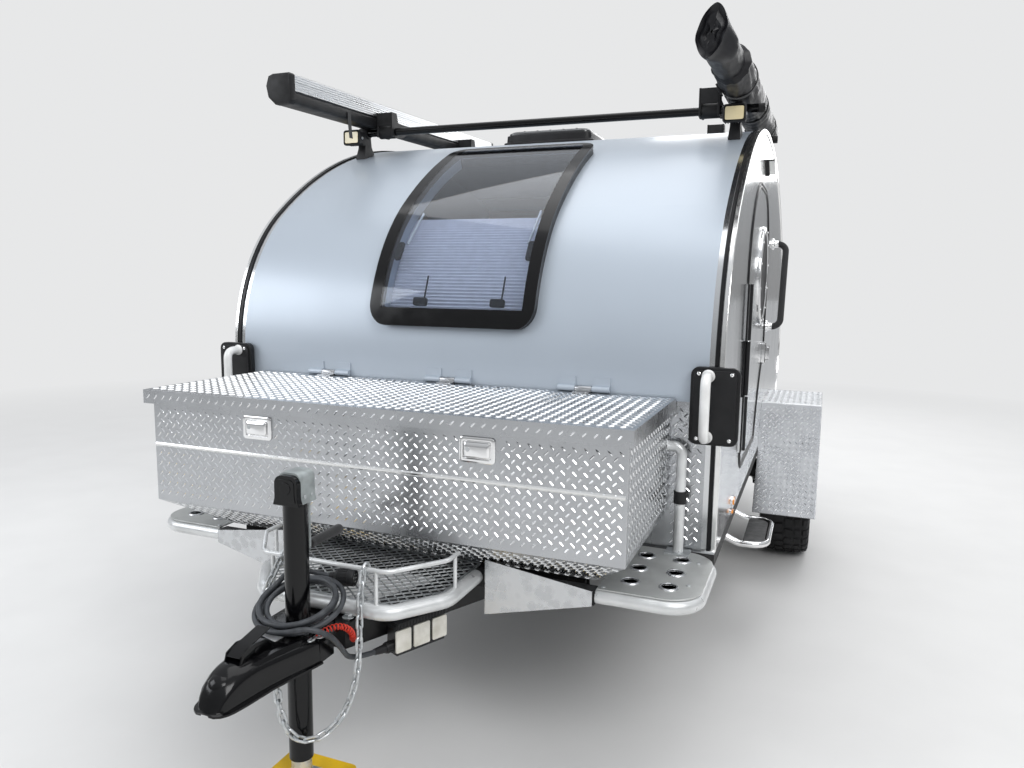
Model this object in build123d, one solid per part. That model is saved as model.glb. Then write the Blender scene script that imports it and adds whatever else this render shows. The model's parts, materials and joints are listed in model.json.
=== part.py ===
from build123d import *
import math
import os

# Off-road teardrop camping trailer, at its real size in millimetres.
# X is across (+X is the trailer's left side), -Y is forward to the coupler, +Z is up.
# The origin is on the ground, under the middle of the trailer's box.

FAR = 3000.0          # past the trailer on every side

# Clearances
SEAT = 0.3            # soft or rounded pieces that rest on a neighbour
MOVE = 6.0            # between a moving panel and what stays still
PIN_CLEAR = 0.06      # radial play of a pin in its bore

# Body shell
BODY_W = 1700.0       # over the two side walls
HALF_W = BODY_W / 2
WALL = 38.0           # side wall and door thickness
SKIN = 35.0           # front, roof and hatch thickness
FRONT_Y = -1029.0     # flat front face
BODY_BOTTOM = 600.0
TURN_Z = 1116.0       # where the flat front begins to curve back
CREST_Y = 241.0
CREST_Z = 1980.0
FRONT_TURN = 50.95    # degrees turned by the tighter front arc
REAR_Y = 2076.0       # rearmost point of the shell
REAR_Z = 1000.0
REAR_TURN = 60.0      # degrees turned by the tighter rear arc
TUCK_R = 450.0        # radius under the tail
PANEL_TOP = 1040.0    # top of the front kick panel
HATCH_Y = 1000.0      # seam between roof and galley hatch
HATCH_SILL = 640.0    # lower edge of the galley hatch
TRIM_W = 24.0         # edge trim over the wall and skin seam
TRIM_T = 6.0

# Chassis
FLOOR_T = 40.0
RAIL_W = 51.0
RAIL_H = 76.0
RAIL_T = 4.0
RAIL_X = 560.0        # centre of a side rail
A_TIP_X = 42.0        # centre of an A-frame rail at the coupler
A_TIP_Y = -1735.0
A_ANGLE = 25.0        # degrees each A-frame rail leans out
RAIL_END_Y = 1815.0
CROSS_W = 50.0
CROSS_H = 60.0

# Wheels and axle
AXLE_Y = 945.0
TYRE_R = 366.5
TYRE_W = 235.0
TYRE_X = HALF_W + 137.5          # centre of the tyre
RIM_R = 190.5
RIM_T = 9.0
HUB_R = 41.0
STUD_PCD = 114.3
STUD_R = 7.0
DRUM_R = 127.0
SPINDLE_R = 20.0
ARM_LEN = 168.0
ARM_X = TYRE_X - 175.5           # inner face of the torsion arm
ARM_T = 34.0
BEAM = 76.0

# Fenders
FENDER_FRONT = 420.0  # front of the foot
FENDER_OUT = HALF_W + 275.0
FENDER_TOP = 800.0
FENDER_TOP_LEN = 500.0
FENDER_LOW = 320.0
SHEET = 4.0           # tread plate thickness

# Doors
DOOR_FRONT = -395.0
DOOR_REAR = 545.0
DOOR_LOW = 720.0
DOOR_TOP = 1745.0
DOOR_CORNER = 60.0
DOOR_ARCH = 370.0
DOOR_WHEEL_R = 816.0  # the door's rear corner is cut round the wheel
PORT_Y = 205.0
PORT_Z = 1405.0
PORT_R = 205.0
PORT_RING = 30.0
GLASS_T = 6.0

# Front window
WINDOW_W = 580.0
WINDOW_LOW = (-1020.0, 1222.0)         # ends of the window on the skin
WINDOW_HIGH = (-375.0, 1860.0)
WINDOW_BAND = 42.0
WINDOW_CORNER = 60.0
WINDOW_STAND = 30.0
PANE_OUT = 16.0       # how far the pane's face stands out of the skin
BLIND_TOP = 1585.0
BLIND_T = 8.0

# Front cargo box
BOX_W = BODY_W - 280.0
BOX_FRONT = -1545.0
BOX_TOP = 1040.0
BOX_LOW = 718.0
BOX_FLOOR = 600.0
BOX_FLOOR_W = 2 * RAIL_X + 60.0
BOX_FLOOR_FRONT = -1350.0
LID_W = BOX_W + 30.0
LID_FRONT = BOX_FRONT - 22.0
LID_Z = BOX_TOP + 10.0
LID_LIP = 40.0
LATCH_X = 333.0
LATCH_Z = 965.0

# Jack and coupler
JACK_Y = -1822.0
JACK_R = 28.5
JACK_LEG_R = 24.0
JACK_TOP = 873.0
JACK_HEAD_TOP = 942.0
JACK_HEAD_HALF = 34.0
JACK_BOSS = (42.0, 23.0)      # half length and radius of the gear's shaft housing
JACK_TRAVEL_UP = 50.0
BLOCK_W = 194.0
BLOCK_H = 178.0
TAIL_Y = REAR_Y + 49.0           # back of the hatch's handle
NOSE_Y = -TAIL_Y                 # foremost point, as far from the origin
GRAB_R = 8.0
GRAB_Z = 900.0
BALL_Y = NOSE_Y + 55.0
BALL_R = 25.4
SOCKET_CLEAR = 0.5
SOCKET_DEEP = 26.0

# Basket and step platforms
DECK_Z = 600.0
RIM_R_TUBE = 19.0
BASKET_W = 590.0
BASKET_FRONT = -1740.0
BASKET_BACK = -1362.0
BASKET_NOSE = 180.0
RAIL_BAR_R = 6.0
BASKET_RAIL_Z = 690.0
STEP_OUT = HALF_W + 20.0
STEP_IN = RAIL_X + 36.0
STEP_FRONT = -1420.0
STEP_BACK = -1034.0
CARRIER_W = 40.0
CARRIER_FRONT = STEP_FRONT + RIM_R_TUBE
CARRIER_BACK = STEP_BACK - RIM_R_TUBE
DECK_T = 3.0
STEP_T = 4.0
STEP_HOLE_R = 19.0
STEP_CORNER = 90.0
POST_R = 15.0

# Roof
BAR_R = 15.0
BAR_HALF = HALF_W + 16.0
BAR_FRONT = (-290.0, 1990.0)
BAR_REAR = (500.0, 2012.0)
FOOT_X = HALF_W - 80.0
FOOT_W = 44.0
CLAMP_W = 76.0
CLAMP_AHEAD = 34.0    # reach of a clamp in front of its bar
CLAMP_BEHIND = 112.0
CLAMP_HIGH = 76.0     # top of a clamp over the middle of its bar
CLAMP_LOW = 27.0
BAG_CLAMP_X = (HALF_W - 172.0, HALF_W - 252.0)     # middle of the front and the rear clamp
CASSETTE_X = (50.0 - HALF_W, 156.0 - HALF_W)
CASSETTE_H = 106.0
CASSETTE_FRONT = -895.0
CASSETTE_REAR = 940.0
BAG_X = HALF_W - 68.0
BAG_R = 66.0
BAG_FRONT = -925.0
BAG_REAR = 900.0
BAG_TIP = 100.0       # length of the folded front end
BAG_FOLD = (43.0, 76.0)       # half width and half height of the fold
BAG_FOLD_SHIFT = (-22.0, 22.0)        # the fold's middle from the bag's, across and up

WALL_IN = HALF_W - WALL
RAIL_TOP = BODY_BOTTOM - FLOOR_T
RAIL_LOW = RAIL_TOP - RAIL_H
SIDES = (("left", 1), ("right", -1))


def arc_pair(width, height, turn):
    """Radii of two tangent arcs that turn 90 degrees over a width and a height."""
    s, c = math.sin(math.radians(turn)), math.cos(math.radians(turn))
    det = s * c - (1 - s) * (1 - c)
    tight = (height * c - (1 - s) * width) / det
    wide = (s * width - (1 - c) * height) / det
    return tight, wide


FRONT_R, FRONT_WIDE_R = arc_pair(CREST_Y - FRONT_Y, CREST_Z - TURN_Z, FRONT_TURN)
REAR_R, REAR_WIDE_R = arc_pair(REAR_Y - CREST_Y, CREST_Z - REAR_Z, REAR_TURN)


def body_face(inset, bottom=BODY_BOTTOM):
    """The side outline of the shell, drawn inward by inset, as a face in the YZ plane."""
    front = FRONT_Y + inset
    a1 = CenterArc((FRONT_Y + FRONT_R, TURN_Z), FRONT_R - inset, 180, -FRONT_TURN)
    a2 = CenterArc((CREST_Y, CREST_Z - FRONT_WIDE_R), FRONT_WIDE_R - inset, 180 - FRONT_TURN,
                   FRONT_TURN - 90)
    a3 = CenterArc((CREST_Y, CREST_Z - REAR_WIDE_R), REAR_WIDE_R - inset, 90, REAR_TURN - 90)
    a4 = CenterArc((REAR_Y - REAR_R, REAR_Z), REAR_R - inset, REAR_TURN, -REAR_TURN)
    tuck = math.degrees(math.asin((REAR_Z - bottom) / (TUCK_R - inset)))
    a5 = CenterArc((REAR_Y - TUCK_R, REAR_Z), TUCK_R - inset, 0, -tuck)
    up = Line((front, bottom), (front, TURN_Z))
    base = Line(a5 @ 1, (front, bottom))
    return Plane.YZ * make_face(up + a1 + a2 + a3 + a4 + a5 + base)


def roof_z(y, inset=0.0):
    """Height of the shell's outline at a place along the roof."""
    if y <= CREST_Y:
        split = FRONT_Y + FRONT_R * (1 - math.cos(math.radians(FRONT_TURN)))
        if y < split:
            r, cy, cz = FRONT_R - inset, FRONT_Y + FRONT_R, TURN_Z
        else:
            r, cy, cz = FRONT_WIDE_R - inset, CREST_Y, CREST_Z - FRONT_WIDE_R
    else:
        split = REAR_Y - REAR_R * (1 - math.cos(math.radians(REAR_TURN)))
        if y > split:
            r, cy, cz = REAR_R - inset, REAR_Y - REAR_R, REAR_Z
        else:
            r, cy, cz = REAR_WIDE_R - inset, CREST_Y, CREST_Z - REAR_WIDE_R
    return cz + math.sqrt(r * r - (y - cy) ** 2)


def across(face, x0, x1):
    """A YZ face carried along X from x0 to x1."""
    return extrude(Pos(x0, 0, 0) * face, amount=x1 - x0, dir=(1, 0, 0))


def block(x0, x1, y0, y1, z0, z1):
    """A box from its lowest and highest corners."""
    return Pos((x0 + x1) / 2, (y0 + y1) / 2, (z0 + z1) / 2) * Box(x1 - x0, y1 - y0, z1 - z0)


def rod(start, end, radius):
    """A round bar between two points."""
    a, b = Vector(*start), Vector(*end)
    plane = Plane(origin=a, z_dir=b - a)
    return extrude(plane * Circle(radius), amount=(b - a).length)


def tube_path(points, radii, radius):
    """A round bar along straight runs joined by arcs."""
    path = FilletPolyline(*points, radius=radii)
    start = Plane(origin=path @ 0, z_dir=path % 0)
    return sweep(start * Circle(radius), path=path)


def yz_prism(points, x0, x1):
    """A polygon given by (y, z) points, carried along X."""
    return across(Plane.YZ * make_face(Polyline(*points, close=True)), x0, x1)


def xy_prism(points, z0, z1):
    """A polygon given by (x, y) points, carried up from z0 to z1."""
    face = make_face(Polyline(*points, close=True))
    return extrude(Pos(0, 0, z0) * face, amount=z1 - z0)


def mirrored(solid):
    """The same piece on the other side of the trailer."""
    return mirror(solid, about=Plane.YZ)


NODES = {}


def keep(name, *solids):
    """Record one node as a list of separate solids."""
    found = []
    for item in solids:
        found.extend(item.solids())
    NODES[name] = found[0] if len(found) == 1 else Compound(children=found)


def keep_pair(name, left):
    """Keep a piece and its mirror image as one node."""
    keep(name, left, mirrored(left))


def keep_sides(name, left):
    """Keep the left piece, and its mirror image on the right, as two nodes."""
    keep(f"{name}_left", left)
    keep(f"{name}_right", mirrored(left))


# Hinges: a pin with two fixed knuckles, and one moving knuckle between them.
KNUCKLE_R = 9.0
PIN_R = 4.0
KNUCKLE_GAP = 1.5
LEAF_T = 4.0
LEAF_SINK = 1.0       # how far a leaf reaches into the panel that it is fixed to
RISE = KNUCKLE_R + 1.0


def hinge(plane, length, leaf, fold=0.0):
    """A fixed and a moving half, with the pin along the plane's Z.

    The panels' surface lies RISE below the pin, along the plane's -X. The fixed leaf
    goes to -Y and the moving leaf to +Y, and fold turns the fixed half about the pin.
    """
    third = length / 3
    fixed = Cylinder(PIN_R, length)
    moving = None
    for slot in (-1, 0, 1):
        side = 1 if slot == 0 else -1
        height = third - (2 * KNUCKLE_GAP if slot == 0 else 0)
        barrel = Cylinder(KNUCKLE_R, height)
        thick = LEAF_T + LEAF_SINK
        plate = Box(thick, leaf - 7, height)
        plate = Pos(-RISE - LEAF_SINK + thick / 2, side * (leaf / 2 + 3.5), 0) * plate
        web = Box(RISE - LEAF_T, KNUCKLE_R, height)
        web = Pos(-RISE / 2 + LEAF_T / 2, side * (KNUCKLE_R / 2 + 1), 0) * web
        piece = barrel + plate + web
        if slot == 0:
            moving = piece - Cylinder(PIN_R + PIN_CLEAR, length)
        else:
            fixed = fixed + Pos(0, 0, slot * third) * piece
    return plane.location * (Rot(0, 0, fold) * fixed), plane.location * moving


# Shell

WINDOW_MID = tuple((a + b) / 2 for a, b in zip(WINDOW_LOW, WINDOW_HIGH))
WINDOW_LEN = math.dist(WINDOW_LOW, WINDOW_HIGH)
WINDOW_TILT = math.atan2(WINDOW_HIGH[1] - WINDOW_LOW[1], WINDOW_HIGH[0] - WINDOW_LOW[0])
WINDOW_PLANE = Plane(origin=(0, WINDOW_MID[0], WINDOW_MID[1]), x_dir=(1, 0, 0),
                     z_dir=(0, -math.sin(WINDOW_TILT), math.cos(WINDOW_TILT)))
WINDOW_REACH = 260.0


def window_prism(inset):
    """The window's rounded rectangle, carried through the skin along its normal."""
    corner = max(WINDOW_CORNER - inset, 5.0)
    shape = RectangleRounded(WINDOW_W - 2 * inset, WINDOW_LEN - 2 * inset, corner)
    return extrude(WINDOW_PLANE * shape, amount=WINDOW_REACH, both=True)


def shell_band(outer, inner, x1, bottom=BODY_BOTTOM):
    """The skin's thickness between two insets, across the trailer."""
    return across(body_face(outer, bottom), -x1, x1) - across(body_face(inner, bottom - 1), -x1 - 1,
                                                              x1 + 1)


def hatch_hinges():
    """Three hinges on the slope of the roof, at the seam."""
    slope = math.asin((HATCH_Y - CREST_Y) / REAR_WIDE_R)
    up = Vector(0, math.sin(slope), math.cos(slope))
    seam = Vector(0, HATCH_Y, roof_z(HATCH_Y)) + up * RISE
    return [hinge(Plane(origin=seam + Vector(x, 0, 0), x_dir=up, z_dir=(-1, 0, 0)), 150.0, 34.0)
            for x in (-560.0, 0.0, 560.0)]


def lid_hinges():
    """Three hinges between the flat front and the box lid."""
    return [hinge(Plane(origin=(x, FRONT_Y - RISE, LID_Z + RISE), x_dir=(0, 0, 1), z_dir=(1, 0, 0)),
                  160.0, 34.0, fold=90.0) for x in (-450.0, 0.0, 450.0)]


def make_skins():
    band = shell_band(0, SKIN, WALL_IN)
    roof_zone = block(-FAR, FAR, FRONT_Y - 10, HATCH_Y - MOVE / 2, PANEL_TOP, FAR)
    roof = band & roof_zone
    roof = roof - window_prism(WINDOW_BAND)
    for fixed, _ in hatch_hinges() + lid_hinges():
        roof = roof + fixed
    keep("front_skin", roof)
    panel_zone = block(-FAR, FAR, FRONT_Y - 10, FRONT_Y + SKIN, BODY_BOTTOM, PANEL_TOP)
    keep("kick_panel", band & panel_zone)


def make_window():
    raised = shell_band(-WINDOW_STAND, 0, WINDOW_W)
    frame = raised & (window_prism(0) - window_prism(WINDOW_BAND))
    keep("window_frame", frame)
    pane = shell_band(-PANE_OUT, GLASS_T - PANE_OUT, WINDOW_W) & window_prism(WINDOW_BAND + SEAT)
    keep("window_glass", pane)
    blind = shell_band(SKIN + SEAT, SKIN + BLIND_T, WINDOW_W) & window_prism(WINDOW_BAND - 32)
    keep("window_blind", blind & block(-400, 400, -1200, 0, 1100, BLIND_TOP))


def door_face(grow):
    """The door's outline in the YZ plane, larger by grow on every side."""
    y0, y1 = DOOR_FRONT - grow, DOOR_REAR + grow
    z0, z1 = DOOR_LOW - grow, DOOR_TOP + grow
    sheet = Pos((y0 + y1) / 2, (z0 + z1) / 2) * Rectangle(y1 - y0, z1 - z0)
    top = [v for v in sheet.vertices() if v.Y > z1 - 1]
    sheet = fillet(top, DOOR_ARCH + grow)
    low_front = [v for v in sheet.vertices() if v.Y < z0 + 1 and v.X < y0 + 1]
    sheet = fillet(low_front, DOOR_CORNER + grow)
    wheel = DOOR_WHEEL_R - grow
    sheet = sheet - Pos(AXLE_Y, TYRE_R) * Circle(wheel)
    return Plane.YZ * sheet


def door_hinge():
    low, high = DOOR_LOW + DOOR_CORNER, DOOR_TOP - DOOR_ARCH
    plane = Plane(origin=(HALF_W + RISE, DOOR_FRONT - MOVE / 2, (low + high) / 2), x_dir=(1, 0, 0),
                  z_dir=(0, 0, 1))
    return hinge(plane, high - low, 40.0)


def make_wall():
    wall = across(body_face(0), WALL_IN, HALF_W)
    return wall - across(door_face(MOVE), WALL_IN - 1, HALF_W + 1) + door_hinge()[0]


def port_disc(x0, x1, radius):
    """A round disc at the door's port window, from x0 to x1."""
    return rod((x0, PORT_Y, PORT_Z), (x1, PORT_Y, PORT_Z), radius)


def make_door():
    hole_r = PORT_R - PORT_RING
    ring = port_disc(HALF_W, HALF_W + 10, PORT_R)
    latch = block(HALF_W, HALF_W + 14, DOOR_REAR - 92, DOOR_REAR - 40, 1010, 1110)
    paddle = block(HALF_W + 14, HALF_W + 34, DOOR_REAR - 80, DOOR_REAR - 52, 1030, 1092)
    leaf = across(door_face(0), WALL_IN, HALF_W) + ring + latch + paddle
    return leaf - port_disc(WALL_IN - 1, HALF_W + 20, hole_r) + door_hinge()[1]


def make_port_glass():
    return port_disc(HALF_W - 13, HALF_W - 13 + GLASS_T, PORT_R - PORT_RING)


def make_trim():
    x0, x1 = HALF_W - TRIM_W, HALF_W + 4.0
    outer = across(body_face(-TRIM_T, BODY_BOTTOM), x0, x1)
    inner = across(body_face(0, BODY_BOTTOM - 1), x0 - 1, x1 + 1)
    strip = (outer - inner) & block(0, FAR, -FAR, FAR, BODY_BOTTOM, FAR)
    keep_pair("edge_trim", strip)


def make_hatch():
    side = WALL_IN - MOVE
    zone = block(-side, side, HATCH_Y + MOVE / 2, TAIL_Y, HATCH_SILL, CREST_Z)
    hatch = shell_band(0, SKIN, side) & zone
    for _, moving in hatch_hinges():
        hatch = hatch + moving
    bow_y = TAIL_Y - GRAB_R
    bow = tube_path([(-90, REAR_Y - 30, GRAB_Z), (-90, bow_y, GRAB_Z), (90, bow_y, GRAB_Z),
                     (90, REAR_Y - 30, GRAB_Z)], [20, 20], GRAB_R)
    keep("hatch", hatch + (bow - across(body_face(SKIN / 2), -FAR, FAR)))


FLOOR_END = REAR_Y - TUCK_R + math.sqrt(TUCK_R ** 2 - (REAR_Z - BODY_BOTTOM) ** 2)
COUNTER_Z = 1000.0
CASE_BACK = 1730.0
BULKHEAD_Y = 1150.0
BOARD = 18.0
SHELF_Z = 790.0


def galley_bays():
    """The open bays of the galley cabinet, as low and high corners."""
    bays = 3
    half = WALL_IN - MOVE
    bay_w = (2 * half - BOARD * (bays + 1)) / bays
    found = []
    for i in range(bays):
        x0 = -half + BOARD + i * (bay_w + BOARD)
        for z0, z1 in ((BODY_BOTTOM + BOARD, SHELF_Z), (SHELF_Z + BOARD, COUNTER_Z - BOARD)):
            found.append((x0, x0 + bay_w, BULKHEAD_Y + 2 * BOARD, CASE_BACK, z0, z1))
    return found


def make_cabin():
    deck = block(-HALF_W, HALF_W, FRONT_Y, FLOOR_END, RAIL_TOP, BODY_BOTTOM)
    sill = shell_band(0, SKIN, WALL_IN) & block(-WALL_IN, WALL_IN, HATCH_Y, TAIL_Y, BODY_BOTTOM,
                                                HATCH_SILL - MOVE)
    keep("floor_deck", deck + sill)
    inner = across(body_face(SKIN), -WALL_IN, WALL_IN)
    cabinet = inner & block(-WALL_IN, WALL_IN, BULKHEAD_Y, BULKHEAD_Y + BOARD, BODY_BOTTOM, CREST_Z)
    half = WALL_IN - MOVE
    cabinet = cabinet + block(-half, half, BULKHEAD_Y + BOARD, CASE_BACK, BODY_BOTTOM, COUNTER_Z)
    for x0, x1, y0, y1, z0, z1 in galley_bays():
        cabinet = cabinet - block(x0, x1, y0, y1 + 1, z0, z1)
    keep("galley_cabinet", cabinet)
    keep("mattress", block(-WALL_IN + 12, WALL_IN - 12, FRONT_Y + SKIN + 20, BULKHEAD_Y - 10,
                           BODY_BOTTOM + SEAT, 700))


# Chassis

def rail_plan(half):
    """Plan of one bent rail, from the coupler to the tail, at a half width."""
    lean = math.radians(A_ANGLE)
    bend_y = A_TIP_Y + (RAIL_X - A_TIP_X) / math.tan(lean)
    off = half / math.cos(lean)
    turn = half * math.tan(lean / 2)
    tip = A_TIP_Y
    return [(A_TIP_X - off, tip), (A_TIP_X + off, tip), (RAIL_X + half, bend_y - turn),
            (RAIL_X + half, RAIL_END_Y), (RAIL_X - half, RAIL_END_Y), (RAIL_X - half, bend_y + turn)]


def rail_bar():
    """One rail with no hollow."""
    return xy_prism(rail_plan(RAIL_W / 2), RAIL_LOW, RAIL_TOP)


def make_rail():
    plan = rail_plan(RAIL_W / 2 - RAIL_T)
    plan[3] = (plan[3][0], RAIL_END_Y + 5)
    plan[4] = (plan[4][0], RAIL_END_Y + 5)
    inner = xy_prism(plan, RAIL_LOW + RAIL_T, RAIL_TOP - RAIL_T)
    inner = inner & block(-FAR, FAR, A_TIP_Y + RAIL_T, FAR, 0, FAR)
    return rail_bar() - inner


def make_chassis():
    keep_pair("frame_rails", make_rail() + stabiliser_bracket())
    half = RAIL_X - RAIL_W / 2
    members = carrier_tubes()
    for y in (-560.0, 150.0, 1300.0, RAIL_END_Y - CROSS_W / 2):
        tube = block(-half, half, y - CROSS_W / 2, y + CROSS_W / 2, RAIL_TOP - CROSS_H, RAIL_TOP)
        bore = block(-half - 1, half + 1, y - CROSS_W / 2 + RAIL_T, y + CROSS_W / 2 - RAIL_T,
                     RAIL_TOP - CROSS_H + RAIL_T, RAIL_TOP - RAIL_T)
        members.append(tube - bore)
    keep("cross_members", *members)


BEAM_Z = RAIL_LOW - BEAM / 2
BEAM_Y = AXLE_Y - math.sqrt(ARM_LEN ** 2 - (BEAM_Z - TYRE_R) ** 2)


def make_axle():
    beam = block(-ARM_X, ARM_X, BEAM_Y - BEAM / 2, BEAM_Y + BEAM / 2, BEAM_Z - BEAM / 2, BEAM_Z + BEAM / 2)
    core = block(-ARM_X - 1, ARM_X + 1, BEAM_Y - BEAM / 2 + 6, BEAM_Y + BEAM / 2 - 6,
                 BEAM_Z - BEAM / 2 + 6, BEAM_Z + BEAM / 2 - 6)
    beam = beam - core
    eye = Rot(0, 90, 0)
    ends = [(BEAM_Y, BEAM_Z, 48.0), (AXLE_Y, TYRE_R, 38.0)]
    arm = None
    for y, z, r in ends:
        disc = Pos(ARM_X + ARM_T / 2, y, z) * eye * Cylinder(r, ARM_T)
        arm = disc if arm is None else arm + disc
    lean = math.atan2(TYRE_R - BEAM_Z, AXLE_Y - BEAM_Y)
    bar = Pos(ARM_X + ARM_T / 2, (BEAM_Y + AXLE_Y) / 2, (BEAM_Z + TYRE_R) / 2)
    arm = arm + bar * Rot(math.degrees(lean), 0, 0) * Box(ARM_T, ARM_LEN, 60)
    spindle = rod((ARM_X + ARM_T - 1, AXLE_Y, TYRE_R), (HUB_FACE + 20, AXLE_Y, TYRE_R), SPINDLE_R)
    arm = arm + spindle
    keep("axle", beam + arm + mirrored(arm))


HUB_FACE = TYRE_X + 42.0     # where the wheel disc seats on the hub
DISC_T = 10.0


def along_x(x0, x1, radius):
    """A disc or drum on the wheel's axis."""
    return rod((x0, AXLE_Y, TYRE_R), (x1, AXLE_Y, TYRE_R), radius)


def make_wheel():
    half = TYRE_W / 2
    low = TYRE_X - half
    profile = [(RIM_R, low + 14), (RIM_R + 26, low + 6), (RIM_R + 70, low), (RIM_R + 110, low + 2),
               (TYRE_R - 24, low + 9), (TYRE_R - 3, low + 26), (TYRE_R, low + 45)]
    high = [(r, 2 * TYRE_X - x) for r, x in reversed(profile)]
    points = [(x, r) for r, x in profile + high]
    face = make_face(Polyline(*points, close=True))
    tyre = revolve(face, axis=Axis.X)
    place = Pos(0, AXLE_Y, TYRE_R)
    tyre = place * tyre
    barrel = along_x(low + 12, low + TYRE_W - 12, RIM_R - 0.5) - along_x(low, low + TYRE_W, RIM_R - RIM_T)
    disc = along_x(HUB_FACE, HUB_FACE + DISC_T, RIM_R - RIM_T + 1)
    rim = barrel + disc
    spokes = 8
    for i in range(spokes):
        turn = Pos(0, AXLE_Y, TYRE_R) * Rot(i * 360 / spokes, 0, 0)
        hole = turn * Pos(HUB_FACE + DISC_T / 2, 0, 132) * Rot(0, 90, 0) * Cylinder(27, 60)
        rim = rim - hole
    studs = 5
    drum = along_x(HUB_FACE - 84, HUB_FACE - 12, DRUM_R)
    drum = drum - along_x(HUB_FACE - 90, HUB_FACE - 20, DRUM_R - 10)
    hub = along_x(HUB_FACE - 12, HUB_FACE, 76) + drum + along_x(HUB_FACE - 80, HUB_FACE + 34, HUB_R)
    for i in range(studs):
        a = math.radians(90 + i * 360 / studs)
        y, z = AXLE_Y + STUD_PCD / 2 * math.cos(a), TYRE_R + STUD_PCD / 2 * math.sin(a)
        stud = rod((HUB_FACE - 6, y, z), (HUB_FACE + DISC_T + 18, y, z), STUD_R)
        nut = rod((HUB_FACE + DISC_T, y, z), (HUB_FACE + DISC_T + 14, y, z), 11)
        hub = hub + stud + nut
    bore = along_x(HUB_FACE - 100, HUB_FACE + 22, SPINDLE_R + PIN_CLEAR)
    return {"tyre": tyre, "rim": rim + hub - bore}


def make_wheels():
    pieces = make_wheel()
    for name, sign in SIDES:
        for kind, solid in pieces.items():
            keep(f"{kind}_{name}", solid if sign > 0 else mirrored(solid))


FENDER_LIP = 34.0


def fender_half(z, inset=0.0):
    """Half the fender's length at a height. Both its slopes lean inward."""
    half = AXLE_Y - FENDER_FRONT
    lean = (half - FENDER_TOP_LEN / 2) / (FENDER_TOP - FENDER_LOW)
    return half - lean * (z - FENDER_LOW) - inset * math.hypot(1, lean)


def fender_outline(inset):
    """The fender's side outline, drawn inward by inset, open at its foot."""
    top, low = FENDER_TOP - inset, FENDER_LOW - inset
    high_half, low_half = fender_half(top, inset), fender_half(low, inset)
    return [(AXLE_Y - low_half, low), (AXLE_Y - high_half, top), (AXLE_Y + high_half, top), (AXLE_Y + low_half, low)]


def make_fender():
    skin = yz_prism(fender_outline(0), HALF_W, FENDER_OUT)
    skin = skin - yz_prism(fender_outline(SHEET), HALF_W - 1, FENDER_OUT + 1)
    lip = yz_prism(fender_outline(0), FENDER_OUT - SHEET, FENDER_OUT)
    lip = lip - yz_prism(fender_outline(FENDER_LIP), 0, FAR)
    return (skin + lip) & block(0, FAR, -FAR, FAR, FENDER_LOW, FAR)


# Tongue

COUPLER_TOP = 8.0       # thickness of the coupler's top plate
COUPLER_DEEP = 54.0
COUPLER_PLAN = ((NOSE_Y, 28.0), (BALL_Y, 52.0), (-1975.0, 66.0), (-1850.0, 96.0), (-1675.0, 100.0))


def coupler_plan(trim, back):
    """The coupler's plan, narrower by trim, cut off at back."""
    right = [(w - trim, y) for y, w in COUPLER_PLAN if y < back]
    right.append((right[-1][0], back))
    return [(-x, y) for x, y in right] + list(reversed(right))


def make_coupler():
    top = xy_prism(coupler_plan(0, -1675.0), RAIL_TOP, RAIL_TOP + COUPLER_TOP)
    wall = 6.0
    skirt = xy_prism(coupler_plan(14, A_TIP_Y - 3), RAIL_TOP - COUPLER_DEEP, RAIL_TOP)
    skirt = skirt - xy_prism(coupler_plan(14 + wall, A_TIP_Y), 0, RAIL_TOP - 1)
    place = Pos(0, BALL_Y, 0)
    nose = place * extrude(Pos(0, 0, RAIL_TOP - COUPLER_DEEP) * Circle(38), amount=COUPLER_DEEP)
    dome = place * Pos(0, 0, RAIL_TOP + 2) * Sphere(36)
    coupler = top + skirt + nose + dome
    socket_r = BALL_R + SOCKET_CLEAR
    low = RAIL_TOP - COUPLER_DEEP
    socket = place * extrude(Pos(0, 0, low - 1) * Circle(socket_r), amount=SOCKET_DEEP + 1)
    socket = socket + place * Pos(0, 0, low + SOCKET_DEEP) * Sphere(socket_r)
    coupler = coupler - socket
    coupler = coupler - rod((0, JACK_Y, 0), (0, JACK_Y, FAR), JACK_R + SEAT)
    keep("coupler", coupler)
    y, z = BALL_Y, RAIL_TOP + COUPLER_TOP
    latch = block(-24, 24, y + 24, y + 110, z, z + 38)
    lever = [(y + 30, z + 38), (y + 80, z + 70), (y + 130, z + 70), (y + 130, z + 58), (y + 95, z + 38)]
    latch = latch + yz_prism(lever, -18, 18)
    latch = latch - place * Pos(0, 0, RAIL_TOP + 2) * Sphere(36 + SEAT)
    keep("coupler_latch", latch)


FOOT_TOP = BLOCK_H + 6.0
JACK_LOW = FOOT_TOP + JACK_TRAVEL_UP + 6.0


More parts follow.
